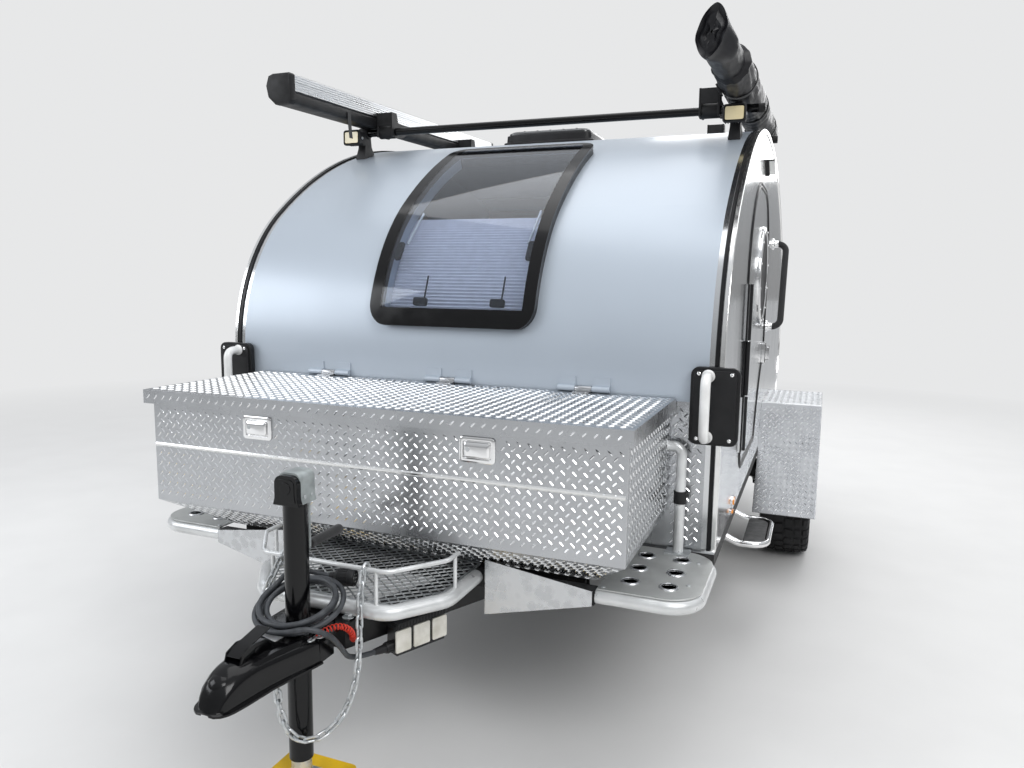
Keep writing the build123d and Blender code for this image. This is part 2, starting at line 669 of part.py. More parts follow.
def make_jack():
    outer = rod((0, JACK_Y, JACK_LOW), (0, JACK_Y, JACK_TOP), JACK_R)
    outer = outer - rod((0, JACK_Y, JACK_LOW - 1), (0, JACK_Y, JACK_TOP - 20), JACK_LEG_R + PIN_CLEAR)
    flange = Pos(0, JACK_Y, RAIL_TOP + 8 + 4) * Box(130, 110, 8)
    flange = flange - rod((0, JACK_Y, 0), (0, JACK_Y, FAR), JACK_R - 2)
    head = yz_prism([(JACK_Y - 34, JACK_TOP), (JACK_Y + 40, JACK_TOP), (JACK_Y + 40, JACK_HEAD_TOP - 20),
                     (JACK_Y + 20, JACK_HEAD_TOP), (JACK_Y - 34, JACK_HEAD_TOP - 4)],
                    -JACK_HEAD_HALF, JACK_HEAD_HALF)
    boss = rod((-JACK_BOSS[0], JACK_Y, JACK_TOP + 32), (JACK_BOSS[0], JACK_Y, JACK_TOP + 32), JACK_BOSS[1])
    arm_y = JACK_Y + 40
    arm = block(-7, 7, arm_y, arm_y + 10, 740, JACK_TOP + 40)
    grip = rod((0, arm_y + 10, 753), (0, arm_y + 135, 753), 13)
    keep("jack_tube", outer + flange + head + boss + arm + grip)
    leg = rod((0, JACK_Y, BLOCK_H), (0, JACK_Y, JACK_TOP - 26 - JACK_TRAVEL_UP), JACK_LEG_R)
    leg = leg + Pos(0, JACK_Y, BLOCK_H + 3) * Box(96, 96, 6)
    keep("jack_leg", leg)
    low, high = BLOCK_W + 10, BLOCK_W
    foot = loft([Pos(0, JACK_Y, 0) * RectangleRounded(low, low, 18),
                 Pos(0, JACK_Y, BLOCK_H) * RectangleRounded(high, high, 18)])
    keep("jack_block", foot)


# Cargo box and what is round it

BOX_BACK = FRONT_Y - SEAT


def box_section(z, width, front, inset):
    """A level rectangle of the box, from its front to its back."""
    sheet = Rectangle(width - 2 * inset, BOX_BACK - front - 2 * inset)
    return Pos(0, (front + BOX_BACK) / 2, z) * sheet


def box_shape(inset, top):
    """The box's outer or inner form: a tapered well with a straight upper part."""
    mouth = box_section(BOX_LOW, BOX_W, BOX_FRONT, inset)
    well = loft([box_section(BOX_FLOOR + inset, BOX_FLOOR_W, BOX_FLOOR_FRONT, inset), mouth], ruled=True)
    return well + extrude(mouth, amount=top - BOX_LOW)


def make_box():
    keep("cargo_box", box_shape(0, BOX_TOP) - box_shape(SHEET, BOX_TOP + 1))
    t = SHEET
    lh = LID_W / 2
    lid = block(-lh, lh, LID_FRONT, BOX_BACK - MOVE, LID_Z - LID_LIP, LID_Z)
    lid = lid - block(-lh + t, lh - t, LID_FRONT + t, 0, LID_Z - LID_LIP - 1, LID_Z - t)
    for _, moving in lid_hinges():
        lid = lid + moving
    keep("cargo_lid", lid)
    latches = []
    for x in (-LATCH_X, LATCH_X):
        plate = block(x - 48, x + 48, BOX_FRONT - 5, BOX_FRONT, LATCH_Z - 33, LATCH_Z + 33)
        paddle = block(x - 34, x + 34, BOX_FRONT - 12, BOX_FRONT - 5, LATCH_Z - 18, LATCH_Z + 20)
        latches.append(plate + paddle)
    keep("box_latches", *latches)


def make_basket():
    w = BASKET_W / 2 - RIM_R_TUBE
    rim_z = RAIL_TOP + COUPLER_TOP + SEAT + RIM_R_TUBE
    front = BASKET_FRONT + RIM_R_TUBE
    back = CARRIER_FRONT - CARRIER_W / 2
    side = front + 130

    def loop(z, end, half):
        return [(-half, end, z), (-half, side, z), (-BASKET_NOSE, front, z), (BASKET_NOSE, front, z),
                (half, side, z), (half, end, z)]
    rim = tube_path(loop(rim_z, back, w), [80, 60, 60, 80], RIM_R_TUBE)
    rail = tube_path(loop(BASKET_RAIL_Z, side + 60, w), [40, 40, 40, 40], RAIL_BAR_R)
    for x, y in ((-w, side + 40), (-BASKET_NOSE + 30, front), (BASKET_NOSE - 30, front), (w, side + 40)):
        rim = rim + rod((x, y, rim_z + RIM_R_TUBE - 3), (x, y, BASKET_RAIL_Z), RAIL_BAR_R - 1)
    keep("basket_rim", rim + rail)
    inset = 17.0
    cut = [(-w + inset, BASKET_BACK), (-w + inset, side + 4), (-BASKET_NOSE, front + inset),
           (BASKET_NOSE, front + inset), (w - inset, side + 4), (w - inset, BASKET_BACK)]
    room = tube_path(loop(rim_z, back, w), [80, 60, 60, 80], RIM_R_TUBE + SEAT)
    keep("basket_deck", xy_prism(cut, DECK_Z, DECK_Z + DECK_T) - room)


def carrier_tubes():
    """Cross tubes that carry the basket, the box and the step platforms, and the gussets before them."""
    tubes = []
    for y, half in ((CARRIER_FRONT, STEP_IN + 8), (-1325.0, RAIL_X), (CARRIER_BACK, STEP_IN + 8)):
        y0, y1 = y - CARRIER_W / 2, y + CARRIER_W / 2
        tube = block(-half, half, y0, y1, RAIL_TOP, DECK_Z)
        tubes.append(tube - block(-half - 1, half + 1, y0 + 3, y1 - 3, RAIL_TOP + 3, DECK_Z - 3))
    y = CARRIER_FRONT - CARRIER_W / 2
    plan = [(302.0, 486.0), (302.0, 640.0), (STEP_IN + 4, DECK_Z), (STEP_IN + 4, RAIL_TOP)]
    gusset = extrude(Pos(0, y, 0) * (Plane.XZ * make_face(Polyline(*plan, close=True))), amount=5.0)
    return tubes + [gusset, mirrored(gusset)]


STEP_HOLE_X = (STEP_IN + 79.0, STEP_OUT - 95.0)
STEP_HOLE_Y = (-1330.0, -1227.0, -1124.0)
POST_X = BOX_W / 2 + 42.0
POST_Y = -1064.0
POST_TOP = 916.0


def make_steps():
    r = RIM_R_TUBE
    edge = 10.0
    sheet = Pos((STEP_IN + STEP_OUT) / 2, (STEP_FRONT + STEP_BACK) / 2) * Rectangle(
        STEP_OUT - STEP_IN - 2 * edge, STEP_BACK - STEP_FRONT - 2 * edge)
    outer = [v for v in sheet.vertices() if v.X > (STEP_IN + STEP_OUT) / 2]
    sheet = fillet(outer, STEP_CORNER)
    for x in STEP_HOLE_X:
        for y in STEP_HOLE_Y:
            sheet = sheet - Pos(x, y) * Circle(STEP_HOLE_R)
    keep_pair("step_plates", extrude(Pos(0, 0, DECK_Z) * sheet, amount=STEP_T))
    z = DECK_Z - r - SEAT
    start = STEP_IN + 8
    rim = tube_path([(start, STEP_FRONT + r, z), (STEP_OUT - r, STEP_FRONT + r, z),
                     (STEP_OUT - r, STEP_BACK - r, z), (start, STEP_BACK - r, z)], [80, 80], r)
    post = tube_path([(POST_X, POST_Y, DECK_Z + STEP_T), (POST_X, POST_Y, POST_TOP),
                      (BOX_W / 2 + SEAT, POST_Y, POST_TOP)], [22], POST_R)
    keep("step_tubes", rim, post, mirrored(rim), mirrored(post))


GRIP_T = 26.0
GRIP_LONG = 220.0
GRIP_IN = 84.0        # how far the plate reaches in from the wall's outer face
GRIP_BESIDE = 51.0    # and out past it
BOW_STAND = 54.0
BOW_HALF = 78.0
BOW_R = 14.0
GRIP_Z = 1035.0
GRIP_X = HALF_W - 35.0


def make_grips():
    x0, x1 = HALF_W - GRIP_IN, HALF_W + GRIP_BESIDE
    y1 = FRONT_Y - TRIM_T - SEAT
    plate = Rot(90, 0, 0) * extrude(RectangleRounded(x1 - x0, GRIP_LONG, 22), amount=GRIP_T)
    plate = Pos((x0 + x1) / 2, y1, GRIP_Z) * plate
    face = y1 - GRIP_T
    far = face - BOW_STAND
    low, high = GRIP_Z - BOW_HALF, GRIP_Z + BOW_HALF
    bow = tube_path([(GRIP_X, face + 2, low), (GRIP_X, far, low), (GRIP_X, far, high),
                     (GRIP_X, face + 2, high)], [34, 34], BOW_R)
    keep_pair("front_grips", plate + bow)


# Side steps
HOOP_R = 12.5
HOOP_Y = (-290.0, 50.0)
HOOP_OUT = 105.0      # reach of the hoop past the wall
HOOP_Z = 400.0

# Grab handles, marker lamps and tail lamps
GRAB_LOW = (700.0, 1170.0)
GRAB_HIGH = (880.0, 1570.0)
GRAB_STAND = 62.0
GRAB_BAR_R = 15.0
LAMP_LOW = (200.0, 1815.0)
LAMP_TOP = 1870.0
LAMP_HALF = 90.0
LAMP_T = 34.0
TAIL_LAMP_X = (50.0, 200.0)
TAIL_LAMP_Z = (620.0, 690.0)
TAIL_LAMP_T = 30.0

# Roof rack and awnings

RACK_TILT = math.degrees(math.atan2(BAR_REAR[1] - BAR_FRONT[1], BAR_REAR[0] - BAR_FRONT[0]))


def on_rack(bar):
    """A place on top of a bar, with Y along the slope of the rack."""
    return Pos(0, *bar) * Rot(RACK_TILT, 0, 0)


def rack_place(y):
    """Where the awnings' undersides lie, with local Y = 0 at a distance along the trailer."""
    return on_rack(BAR_FRONT) * Pos(0, y - BAR_FRONT[0], BAR_R + SEAT)


def make_roof():
    feet, bars = [], []
    body = across(body_face(0), -FAR, FAR)
    for bar, clamp_x in ((BAR_FRONT, BAG_CLAMP_X[0]), (BAR_REAR, BAG_CLAMP_X[1])):
        y, z = bar
        rod_x = rod((-BAR_HALF, y, z), (BAR_HALF, y, z), BAR_R)
        bars.append(rod_x)
        foot = block(FOOT_X - FOOT_W / 2, FOOT_X + FOOT_W / 2, y - 40, y + 40, roof_z(y + 45) - 60, z + 10)
        clamp = block(-CLAMP_W / 2, CLAMP_W / 2, -CLAMP_AHEAD, CLAMP_BEHIND, -CLAMP_LOW, CLAMP_HIGH)
        left = on_rack(bar) * Pos(clamp_x, 0, 0) * clamp
        right = on_rack(bar) * Pos(CASSETTE_X[1] + SEAT + CLAMP_W / 2, 0, 0) * clamp
        for piece in (foot, mirrored(foot), left, right):
            feet.append(piece - rod_x - body)
    keep("rack_bars", *bars)
    keep("rack_feet", *feet)


def make_awnings():
    x0, x1 = CASSETTE_X
    h = CASSETTE_H
    outline = [(x0, h - 40), (x0 + 12, h - 6), (x0 + 30, h), (x1 - 6, h), (x1, h - 6), (x1, 14),
               (x1 - 10, 0), (x0 + 36, 0), (x0 + 8, 26)]
    face = Plane.XZ * make_face(Polyline(*outline, close=True))
    keep("awning_cassette", rack_place(CASSETTE_REAR) * extrude(face, amount=CASSETTE_REAR - CASSETTE_FRONT))
    length = BAG_REAR - BAG_FRONT - BAG_TIP
    bag = rod((0, 0, 0), (0, length, 0), BAG_R)
    back = Plane(origin=(0, 0, 0), x_dir=(1, 0, 0), z_dir=(0, -1, 0))
    tip = Plane(origin=(BAG_FOLD_SHIFT[0], -BAG_TIP, BAG_FOLD_SHIFT[1]), x_dir=(1, 0, 0), z_dir=(0, -1, 0))
    end = loft([back * Circle(BAG_R), tip * Ellipse(*BAG_FOLD)])
    keep("awning_bag", rack_place(BAG_FRONT + BAG_TIP) * Pos(BAG_X, 0, BAG_R) * (bag + end))


def make_roof_fittings():
    y, z = BAR_FRONT
    lamps = []
    for x in (FOOT_X + 4, -FOOT_X - 4):
        lamp = block(x - 40, x + 40, y - 100, y - 60, z - 62, z)
        arm = block(x - 8, x + 8, y - 60, y - 40, z - 50, z - 24)
        lamps.append(lamp + arm)
    keep("work_lights", *lamps)
    half = 205.0
    vent_x, vent_y = -55.0, 220.0
    vent = block(vent_x - half, vent_x + half, vent_y - half, vent_y + half, CREST_Z - 60, CREST_Z + 26)
    cover = block(vent_x - half + 22, vent_x + half - 22, vent_y - half + 22, vent_y + half - 22,
                  CREST_Z + 26, CREST_Z + 52)
    keep("roof_vent", (vent + cover) - across(body_face(0), -FAR, FAR))


def make_side_steps():
    r = HOOP_R
    y0, y1 = HOOP_Y
    inner = RAIL_X + RAIL_W / 2
    out, low, high = HALF_W + HOOP_OUT, HOOP_Z, RAIL_LOW + 34
    hoop = tube_path([(inner, y0, high), (HALF_W, y0, low), (out, y0, low), (out, y1, low),
                      (HALF_W, y1, low), (inner, y1, high)], [60, 60, 60, 60], r)
    hoop = hoop - block(-inner, inner, -FAR, FAR, 0, FAR)
    tread = block(HALF_W + 18, out - r + 3, y0 + r - 3, y1 - r + 3, low - 5, low + 5)
    keep_pair("side_steps", hoop + tread)


def make_small():
    out = HALF_W + GRAB_STAND
    bow = tube_path([(HALF_W, *GRAB_LOW), (out, *GRAB_LOW), (out, *GRAB_HIGH), (HALF_W, *GRAB_HIGH)],
                    [40, 40], GRAB_BAR_R)
    keep_pair("grab_handles", bow)
    y, z = LAMP_LOW
    lamp = yz_prism([(y - LAMP_HALF, LAMP_TOP), (y + LAMP_HALF, LAMP_TOP), (y, z)], HALF_W, HALF_W + LAMP_T)
    x0, x1 = TAIL_LAMP_X
    fender_back = AXLE_Y + fender_half(TAIL_LAMP_Z[0])
    tail = block(HALF_W + x0, HALF_W + x1, AXLE_Y, fender_back + TAIL_LAMP_T, *TAIL_LAMP_Z)
    tail = tail - yz_prism(fender_outline(0), HALF_W, FENDER_OUT)
    keep("body_lights", lamp, mirrored(lamp), tail, mirrored(tail))


STAB_Y = 1690.0
STAB_Z = 445.0
STAB_LEN = 430.0
STAB_PIN = 8.0


def stabiliser_bracket():
    """Two ears under the rail, with the leg's pin."""
    bracket = block(RAIL_X - 33, RAIL_X + 33, STAB_Y - 30, STAB_Y + 30, RAIL_LOW - 5, RAIL_LOW)
    for x in (RAIL_X - 33, RAIL_X + 27):
        bracket = bracket + block(x, x + 6, STAB_Y - 30, STAB_Y + 30, STAB_Z - 18, RAIL_LOW)
    return bracket + rod((RAIL_X - 36, STAB_Y, STAB_Z), (RAIL_X + 36, STAB_Y, STAB_Z), STAB_PIN)


def make_stabiliser():
    end = STAB_Y - STAB_LEN
    leg = block(RAIL_X - 20, RAIL_X + 20, end, STAB_Y, STAB_Z - 20, STAB_Z + 20)
    leg = leg + rod((RAIL_X - 20, STAB_Y, STAB_Z), (RAIL_X + 20, STAB_Y, STAB_Z), 20)
    leg = leg + block(RAIL_X - 45, RAIL_X + 45, end - 6, end, STAB_Z - 30, STAB_Z + 30)
    return leg - rod((RAIL_X - 60, STAB_Y, STAB_Z), (RAIL_X + 60, STAB_Y, STAB_Z), STAB_PIN + PIN_CLEAR)


# Wiring and chains

JBOX_LEN = 150.0
JBOX_THICK = 42.0
JBOX_FRONT_Y = -1625.0
JBOX_Z = (440.0, 512.0)
GLAND_Z = 463.0
GLAND_LEN = 24.0
CABLE_R = 6.5
COIL_AT = (0.0, -1812.0, 621.0)
COIL_TILT = 17.0
COIL_R = (64.0, 118.0)
COIL_T = 34.0
CHAIN_R = 9.0
CURLY_R = 8.0
PLUG_R = 22.0
PLUG_Z = DECK_Z + DECK_T + SEAT + PLUG_R
PLUG_ENDS = ((-28.0, -1655.0, PLUG_Z), (40.0, -1640.0, PLUG_Z))
RAIL_HANG_Y = BASKET_FRONT + RIM_R_TUBE - RAIL_BAR_R - CHAIN_R + 0.5

# Routes of the free cords, from where each leaves the trailer
LEAD_ROUTE = [(93, -1754, 474), (112, -1806, 522), (110, -1852, 580), (72, -1888, 604)]
TAIL_ROUTE = [(-92, -1780, 640), (-100, -1730, 652), (-92, -1690, 646), (-66, -1663, 632), PLUG_ENDS[0]]
CHAIN_ROUTE = [(124, RAIL_HANG_Y, 690), (124, -1753, 630), (126, -1758, 530), (120, -1762, 430),
               (98, -1784, 345), (56, -1828, 297), (20, -1872, 313), (4, -1892, 365), (-4, -1900, 430),
               (0, -1904, 498)]
SHORT_CHAIN_ROUTE = [(-112, RAIL_HANG_Y, 690), (-134, -1752, 636), (-158, -1762, 578), (-164, -1760, 520),
                     (-158, -1755, 489), (-143, -1742, 464), (-121, -1724, 450), (-96, -1704, 451),
                     (-74, -1685, 466), (-60, -1673, 492)]
CURLY_ROUTE = [(78, -1862, 577), (86, -1836, 580), (98, -1810, 581), (110, -1788, 570), (111, -1766, 548),
               (100, -1748, 523), (88, -1722, 508), (72, -1698, 502)]


def cord_tube(name, points, radius):
    """A cord's tube, each arc as large as its two runs allow."""
    corners = [Vector(*p) for p in points]
    radii = []
    for a, b, c in zip(corners, corners[1:], corners[2:]):
        turn = math.radians((b - a).get_angle(c - b))
        radii.append(0.45 * min((b - a).length, (c - b).length) / math.tan(turn / 2))
    print(name, "arc radii", [round(r) for r in radii])
    return tube_path(points, radii, radius)


def make_wiring():
    lean = math.radians(A_ANGLE)
    face_x = A_TIP_X + RAIL_W / 2 / math.cos(lean) + (JBOX_FRONT_Y - A_TIP_Y) * math.tan(lean)
    place = Pos(face_x, JBOX_FRONT_Y, 0) * Rot(0, 0, -A_ANGLE)
    case = place * block(SEAT, JBOX_THICK, 0, JBOX_LEN, *JBOX_Z)
    lid = place * block(SEAT, JBOX_THICK + 6, -6, JBOX_LEN + 6, JBOX_Z[1], JBOX_Z[1] + 12)
    gx = JBOX_THICK / 2 + 4
    gland = place * rod((gx, 0, GLAND_Z), (gx, -GLAND_LEN, GLAND_Z), 13)
    keep("junction_box", case + lid + gland)
    leave = [(place * Pos(gx, -GLAND_LEN - run, GLAND_Z)).position for run in (0, 42)]
    ring = Cylinder(COIL_R[1], COIL_T) - Cylinder(COIL_R[0], COIL_T + 2)
    ring = Pos(*COIL_AT) * Rot(COIL_TILT, 0, 0) * ring
    plug = rod(*PLUG_ENDS, PLUG_R)
    keep("cable_coil", ring)
    keep("cable_lead", cord_tube("cable_lead", leave + LEAD_ROUTE, CABLE_R) - ring)
    keep("cable_plug", plug)
    keep("cable_tail", cord_tube("cable_tail", TAIL_ROUTE, CABLE_R) - ring - plug)


def make_chains():
    rail = rail_bar()
    keep("safety_chain", cord_tube("safety_chain", CHAIN_ROUTE, CHAIN_R))
    keep("short_chain", cord_tube("short_chain", SHORT_CHAIN_ROUTE, CHAIN_R) - mirrored(rail))
    curly = cord_tube("curly_cord", CURLY_ROUTE, CURLY_R) - rail
    keep("curly_cord", curly)
    x, y, z = CURLY_ROUTE[0]
    clip_z = RAIL_TOP + COUPLER_TOP + SEAT
    keep("curly_clip", block(x - 9, x + 5, y - 26, y + 1, clip_z, clip_z + 8) - curly)


def main():
    make_skins()
    make_window()
    keep_pair("side_walls", make_wall())
    keep_sides("door", make_door())
    keep_sides("door_glass", make_port_glass())
    make_trim()
    make_hatch()
    make_cabin()
    make_chassis()
    make_axle()
    make_wheels()
    keep_pair("fenders", make_fender())
    make_coupler()
    make_jack()
    make_box()
    make_basket()
    make_steps()
    make_grips()
    make_roof()
    make_awnings()
    make_roof_fittings()
    make_side_steps()
    make_small()
    keep_sides("stabiliser", make_stabiliser())
    make_wiring()
    make_chains()
    os.makedirs("parts", exist_ok=True)
    for name, solid in NODES.items():
        export_step(solid, f"parts/{name}.step")
    print(len(NODES), "nodes")


main()
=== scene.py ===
"""Looks of a teardrop camping trailer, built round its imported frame.

Metres, +Z up, -Y towards the coupler and +X the trailer's left side, with the ground at z = 0.
"""
import json
from math import asin, atan2, copysign, cos, dist, exp, hypot, pi, radians, sin, sqrt, tan

import bmesh
import bpy
from mathutils import Matrix, Vector, noise
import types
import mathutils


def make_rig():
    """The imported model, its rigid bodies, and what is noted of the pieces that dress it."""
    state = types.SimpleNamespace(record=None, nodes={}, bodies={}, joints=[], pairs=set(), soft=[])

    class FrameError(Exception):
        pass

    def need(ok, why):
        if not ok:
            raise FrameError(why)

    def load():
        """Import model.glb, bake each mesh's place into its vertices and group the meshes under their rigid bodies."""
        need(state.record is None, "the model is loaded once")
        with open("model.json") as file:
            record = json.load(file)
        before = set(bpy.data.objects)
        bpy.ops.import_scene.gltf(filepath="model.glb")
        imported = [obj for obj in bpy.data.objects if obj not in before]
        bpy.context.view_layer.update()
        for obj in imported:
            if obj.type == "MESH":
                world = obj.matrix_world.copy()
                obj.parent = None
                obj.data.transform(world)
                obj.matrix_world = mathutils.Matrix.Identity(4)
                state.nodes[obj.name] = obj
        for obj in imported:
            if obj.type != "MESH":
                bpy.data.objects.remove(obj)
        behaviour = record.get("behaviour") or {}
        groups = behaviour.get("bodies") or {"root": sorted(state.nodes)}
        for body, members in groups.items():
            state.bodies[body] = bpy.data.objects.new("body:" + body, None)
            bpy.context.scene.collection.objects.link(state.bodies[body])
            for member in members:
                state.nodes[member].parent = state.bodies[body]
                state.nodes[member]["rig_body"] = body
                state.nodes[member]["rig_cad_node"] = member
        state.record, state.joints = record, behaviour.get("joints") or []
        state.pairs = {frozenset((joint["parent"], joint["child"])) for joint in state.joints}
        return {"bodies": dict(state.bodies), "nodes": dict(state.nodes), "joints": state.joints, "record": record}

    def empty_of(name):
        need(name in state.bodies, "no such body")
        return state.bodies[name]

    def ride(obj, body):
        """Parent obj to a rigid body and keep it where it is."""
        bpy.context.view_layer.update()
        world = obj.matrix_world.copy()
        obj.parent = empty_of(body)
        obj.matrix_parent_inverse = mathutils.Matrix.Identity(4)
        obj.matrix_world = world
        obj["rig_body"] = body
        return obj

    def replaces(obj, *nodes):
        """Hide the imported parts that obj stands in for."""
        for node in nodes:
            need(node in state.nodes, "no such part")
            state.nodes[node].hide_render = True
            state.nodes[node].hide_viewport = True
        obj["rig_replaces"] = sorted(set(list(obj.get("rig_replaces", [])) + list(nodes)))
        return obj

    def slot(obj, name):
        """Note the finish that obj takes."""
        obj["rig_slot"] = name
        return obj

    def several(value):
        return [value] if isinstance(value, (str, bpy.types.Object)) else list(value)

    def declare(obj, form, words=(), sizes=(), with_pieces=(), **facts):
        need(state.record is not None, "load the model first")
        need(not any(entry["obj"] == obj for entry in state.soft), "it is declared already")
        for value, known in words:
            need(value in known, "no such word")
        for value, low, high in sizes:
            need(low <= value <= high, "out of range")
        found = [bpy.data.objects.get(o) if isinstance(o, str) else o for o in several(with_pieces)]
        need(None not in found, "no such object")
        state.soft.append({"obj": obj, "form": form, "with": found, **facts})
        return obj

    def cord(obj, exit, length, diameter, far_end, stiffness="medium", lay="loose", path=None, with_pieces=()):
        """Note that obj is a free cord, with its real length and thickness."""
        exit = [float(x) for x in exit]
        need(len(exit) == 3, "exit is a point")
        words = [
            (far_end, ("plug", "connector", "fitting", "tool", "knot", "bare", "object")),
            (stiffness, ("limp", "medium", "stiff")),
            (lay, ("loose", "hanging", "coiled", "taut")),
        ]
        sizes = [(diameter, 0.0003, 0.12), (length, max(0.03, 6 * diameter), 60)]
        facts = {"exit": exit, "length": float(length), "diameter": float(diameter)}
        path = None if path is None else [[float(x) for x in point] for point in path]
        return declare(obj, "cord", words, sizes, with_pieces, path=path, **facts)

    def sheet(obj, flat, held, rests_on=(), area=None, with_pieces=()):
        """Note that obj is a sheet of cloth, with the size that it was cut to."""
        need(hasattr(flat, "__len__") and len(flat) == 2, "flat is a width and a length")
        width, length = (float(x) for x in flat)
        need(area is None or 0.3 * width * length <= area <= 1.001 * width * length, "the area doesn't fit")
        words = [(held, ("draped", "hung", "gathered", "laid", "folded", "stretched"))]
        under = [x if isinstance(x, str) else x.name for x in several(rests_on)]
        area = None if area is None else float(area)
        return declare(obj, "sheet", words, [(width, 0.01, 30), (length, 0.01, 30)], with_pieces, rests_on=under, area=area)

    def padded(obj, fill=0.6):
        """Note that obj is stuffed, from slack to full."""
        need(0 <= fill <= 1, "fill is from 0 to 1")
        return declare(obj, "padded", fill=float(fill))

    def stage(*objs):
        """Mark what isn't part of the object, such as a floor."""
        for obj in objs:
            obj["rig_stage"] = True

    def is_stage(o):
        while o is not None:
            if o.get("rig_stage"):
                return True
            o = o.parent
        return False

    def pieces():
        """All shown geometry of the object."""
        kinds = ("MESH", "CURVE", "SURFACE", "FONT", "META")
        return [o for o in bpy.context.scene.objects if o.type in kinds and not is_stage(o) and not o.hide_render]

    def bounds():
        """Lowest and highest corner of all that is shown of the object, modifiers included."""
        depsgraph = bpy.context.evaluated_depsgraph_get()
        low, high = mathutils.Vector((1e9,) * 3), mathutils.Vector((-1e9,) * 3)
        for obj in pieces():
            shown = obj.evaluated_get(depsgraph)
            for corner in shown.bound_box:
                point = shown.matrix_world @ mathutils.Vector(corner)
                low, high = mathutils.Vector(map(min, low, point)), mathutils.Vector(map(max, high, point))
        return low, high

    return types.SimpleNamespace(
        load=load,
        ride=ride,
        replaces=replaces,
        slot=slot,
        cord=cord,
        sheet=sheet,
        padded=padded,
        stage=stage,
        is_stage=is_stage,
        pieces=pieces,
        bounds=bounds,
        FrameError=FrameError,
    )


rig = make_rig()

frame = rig.load()
NODES = frame["nodes"]
CAD_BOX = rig.bounds()
CHASSIS = "chassis"
SIDES = (("left", 1), ("right", -1))

# Sizes shared by several pieces
HALF_W = 0.85          # outer face of a side wall
SKIN = 0.035
FRONT_Y = -1.029        # flat front face
TURN_Z = 1.116          # where the flat front begins to curve back
CREST = (0.241, 1.98)
REAR = (2.076, 1.000)
FRONT_TURN = radians(50.95)
REAR_TURN = radians(60.0)
TUCK_R = 0.45
FLOOR_Z = 0.6
AXLE = Vector((0, 0.945, 0.3665))
CORNERS = ((-1, -1), (1, -1), (1, 1), (-1, 1))
BOX_FACES = ((3, 2, 1, 0), (4, 5, 6, 7), (0, 1, 5, 4), (1, 2, 6, 5), (2, 3, 7, 6), (3, 0, 4, 7))
TINY = 0.0001           # stands for a radius of nought in a turned profile

moved = Matrix.Translation


# Placing and outlines

def axes_place(origin, x_axis, y_axis):
    """A matrix with its local X and Y along the given directions."""
    x = Vector(x_axis).normalized()
    z = x.cross(Vector(y_axis)).normalized()
    m = Matrix((x, z.cross(x), z)).transposed().to_4x4()
    m.translation = Vector(origin)
    return m


def on_side(side, origin):
    """Local X along the trailer, Y up and Z out of the left (1) or right (-1) side."""
    return axes_place(origin, (0, side, 0), (0, 0, 1))


def upright(origin):
    """Local X to the left, Y up and Z to the front."""
    return axes_place(origin, (1, 0, 0), (0, 0, 1))


def turns(count):
    """Angles evenly round a circle."""
    return [2 * pi * k / count for k in range(count)]


def spun(place, count, first=0.0):
    """Places turned round local Z in equal steps."""
    return [place @ Matrix.Rotation(2 * pi * (k + first) / count, 4, "Z") for k in range(count)]


def polar(r, angle):
    """A point in the XZ plane."""
    return Vector((r * cos(angle), 0, r * sin(angle)))


def rounded(width, height, radius, steps=5):
    """A rounded rectangle's outline, centred."""
    w, h = width / 2 - radius, height / 2 - radius
    return [(cx * w + radius * cos(a), cy * h + radius * sin(a))
            for cx, cy, start in ((1, 1, 0), (-1, 1, 90), (-1, -1, 180), (1, -1, 270))
            for a in (radians(start + 90 * k / steps) for k in range(steps + 1))]


def rect(u0, u1, v0, v1):
    return [(u0, v0), (u1, v0), (u1, v1), (u0, v1)]


def nurbs(name, points, resolution):
    """A curve of one NURBS spline with these control points."""
    curve = bpy.data.curves.new(name, "CURVE")
    curve.dimensions = "3D"
    curve.resolution_u = resolution
    spline = curve.splines.new("NURBS")
    spline.points.add(len(points) - 1)
    for p, co in zip(spline.points, points):
        p.co = (*co, 1.0)
    spline.order_u = 3
    spline.use_endpoint_u = True
    return curve


def smooth_path(points):
    """Points along the NURBS curve that has these control points."""
    curve = nurbs("path", points, 10)
    obj = bpy.data.objects.new("path", curve)
    mesh = bpy.data.meshes.new_from_object(obj)
    found = [v.co.copy() for v in mesh.vertices]
    bpy.data.objects.remove(obj)
    bpy.data.curves.remove(curve)
    bpy.data.meshes.remove(mesh)
    return found


def rounded_path(points, radius, steps=6):
    """An open path of straight runs with its corners rounded."""
    pts = [Vector(p) for p in points]
    out = [pts[0]]
    for before, p, after in zip(pts, pts[1:], pts[2:]):
        a, b = before - p, after - p
        cut = min(radius / tan(a.angle(b) / 2), a.length * 0.49, b.length * 0.49)
        start, end = p + a.normalized() * cut, p + b.normalized() * cut
        for k in range(steps + 1):
            t = k / steps
            out.append(start.lerp(p, t).lerp(p.lerp(end, t), t))
    return out + [pts[-1]]


def spaced(points, step):
    """Points and tangents at equal distances along a path."""
    total = sum((b - a).length for a, b in zip(points, points[1:]))
    count = max(2, round(total / step))
    found, walked, i = [], 0, 0
    for k in range(count + 1):
        want = total * k / count
        while i < len(points) - 2 and walked + (points[i + 1] - points[i]).length < want:
            walked += (points[i + 1] - points[i]).length
            i += 1
        a, b = points[i], points[i + 1]
        t = min(1.0, max(0, (want - walked) / max((b - a).length, 1e-9)))
        found.append((a.lerp(b, t), (b - a).normalized()))
    return found


def put(name, data):
    """An object in the scene."""
    obj = bpy.data.objects.new(name, data)
    bpy.context.scene.collection.objects.link(obj)
    return obj


def soften(obj, width, segments, angle):
    """Small rounded edges."""
    mod = obj.modifiers.new("edge", "BEVEL")
    mod.width = width
    mod.segments = segments
    mod.limit_method = "ANGLE"
    mod.angle_limit = radians(angle)
    mod.harden_normals = True


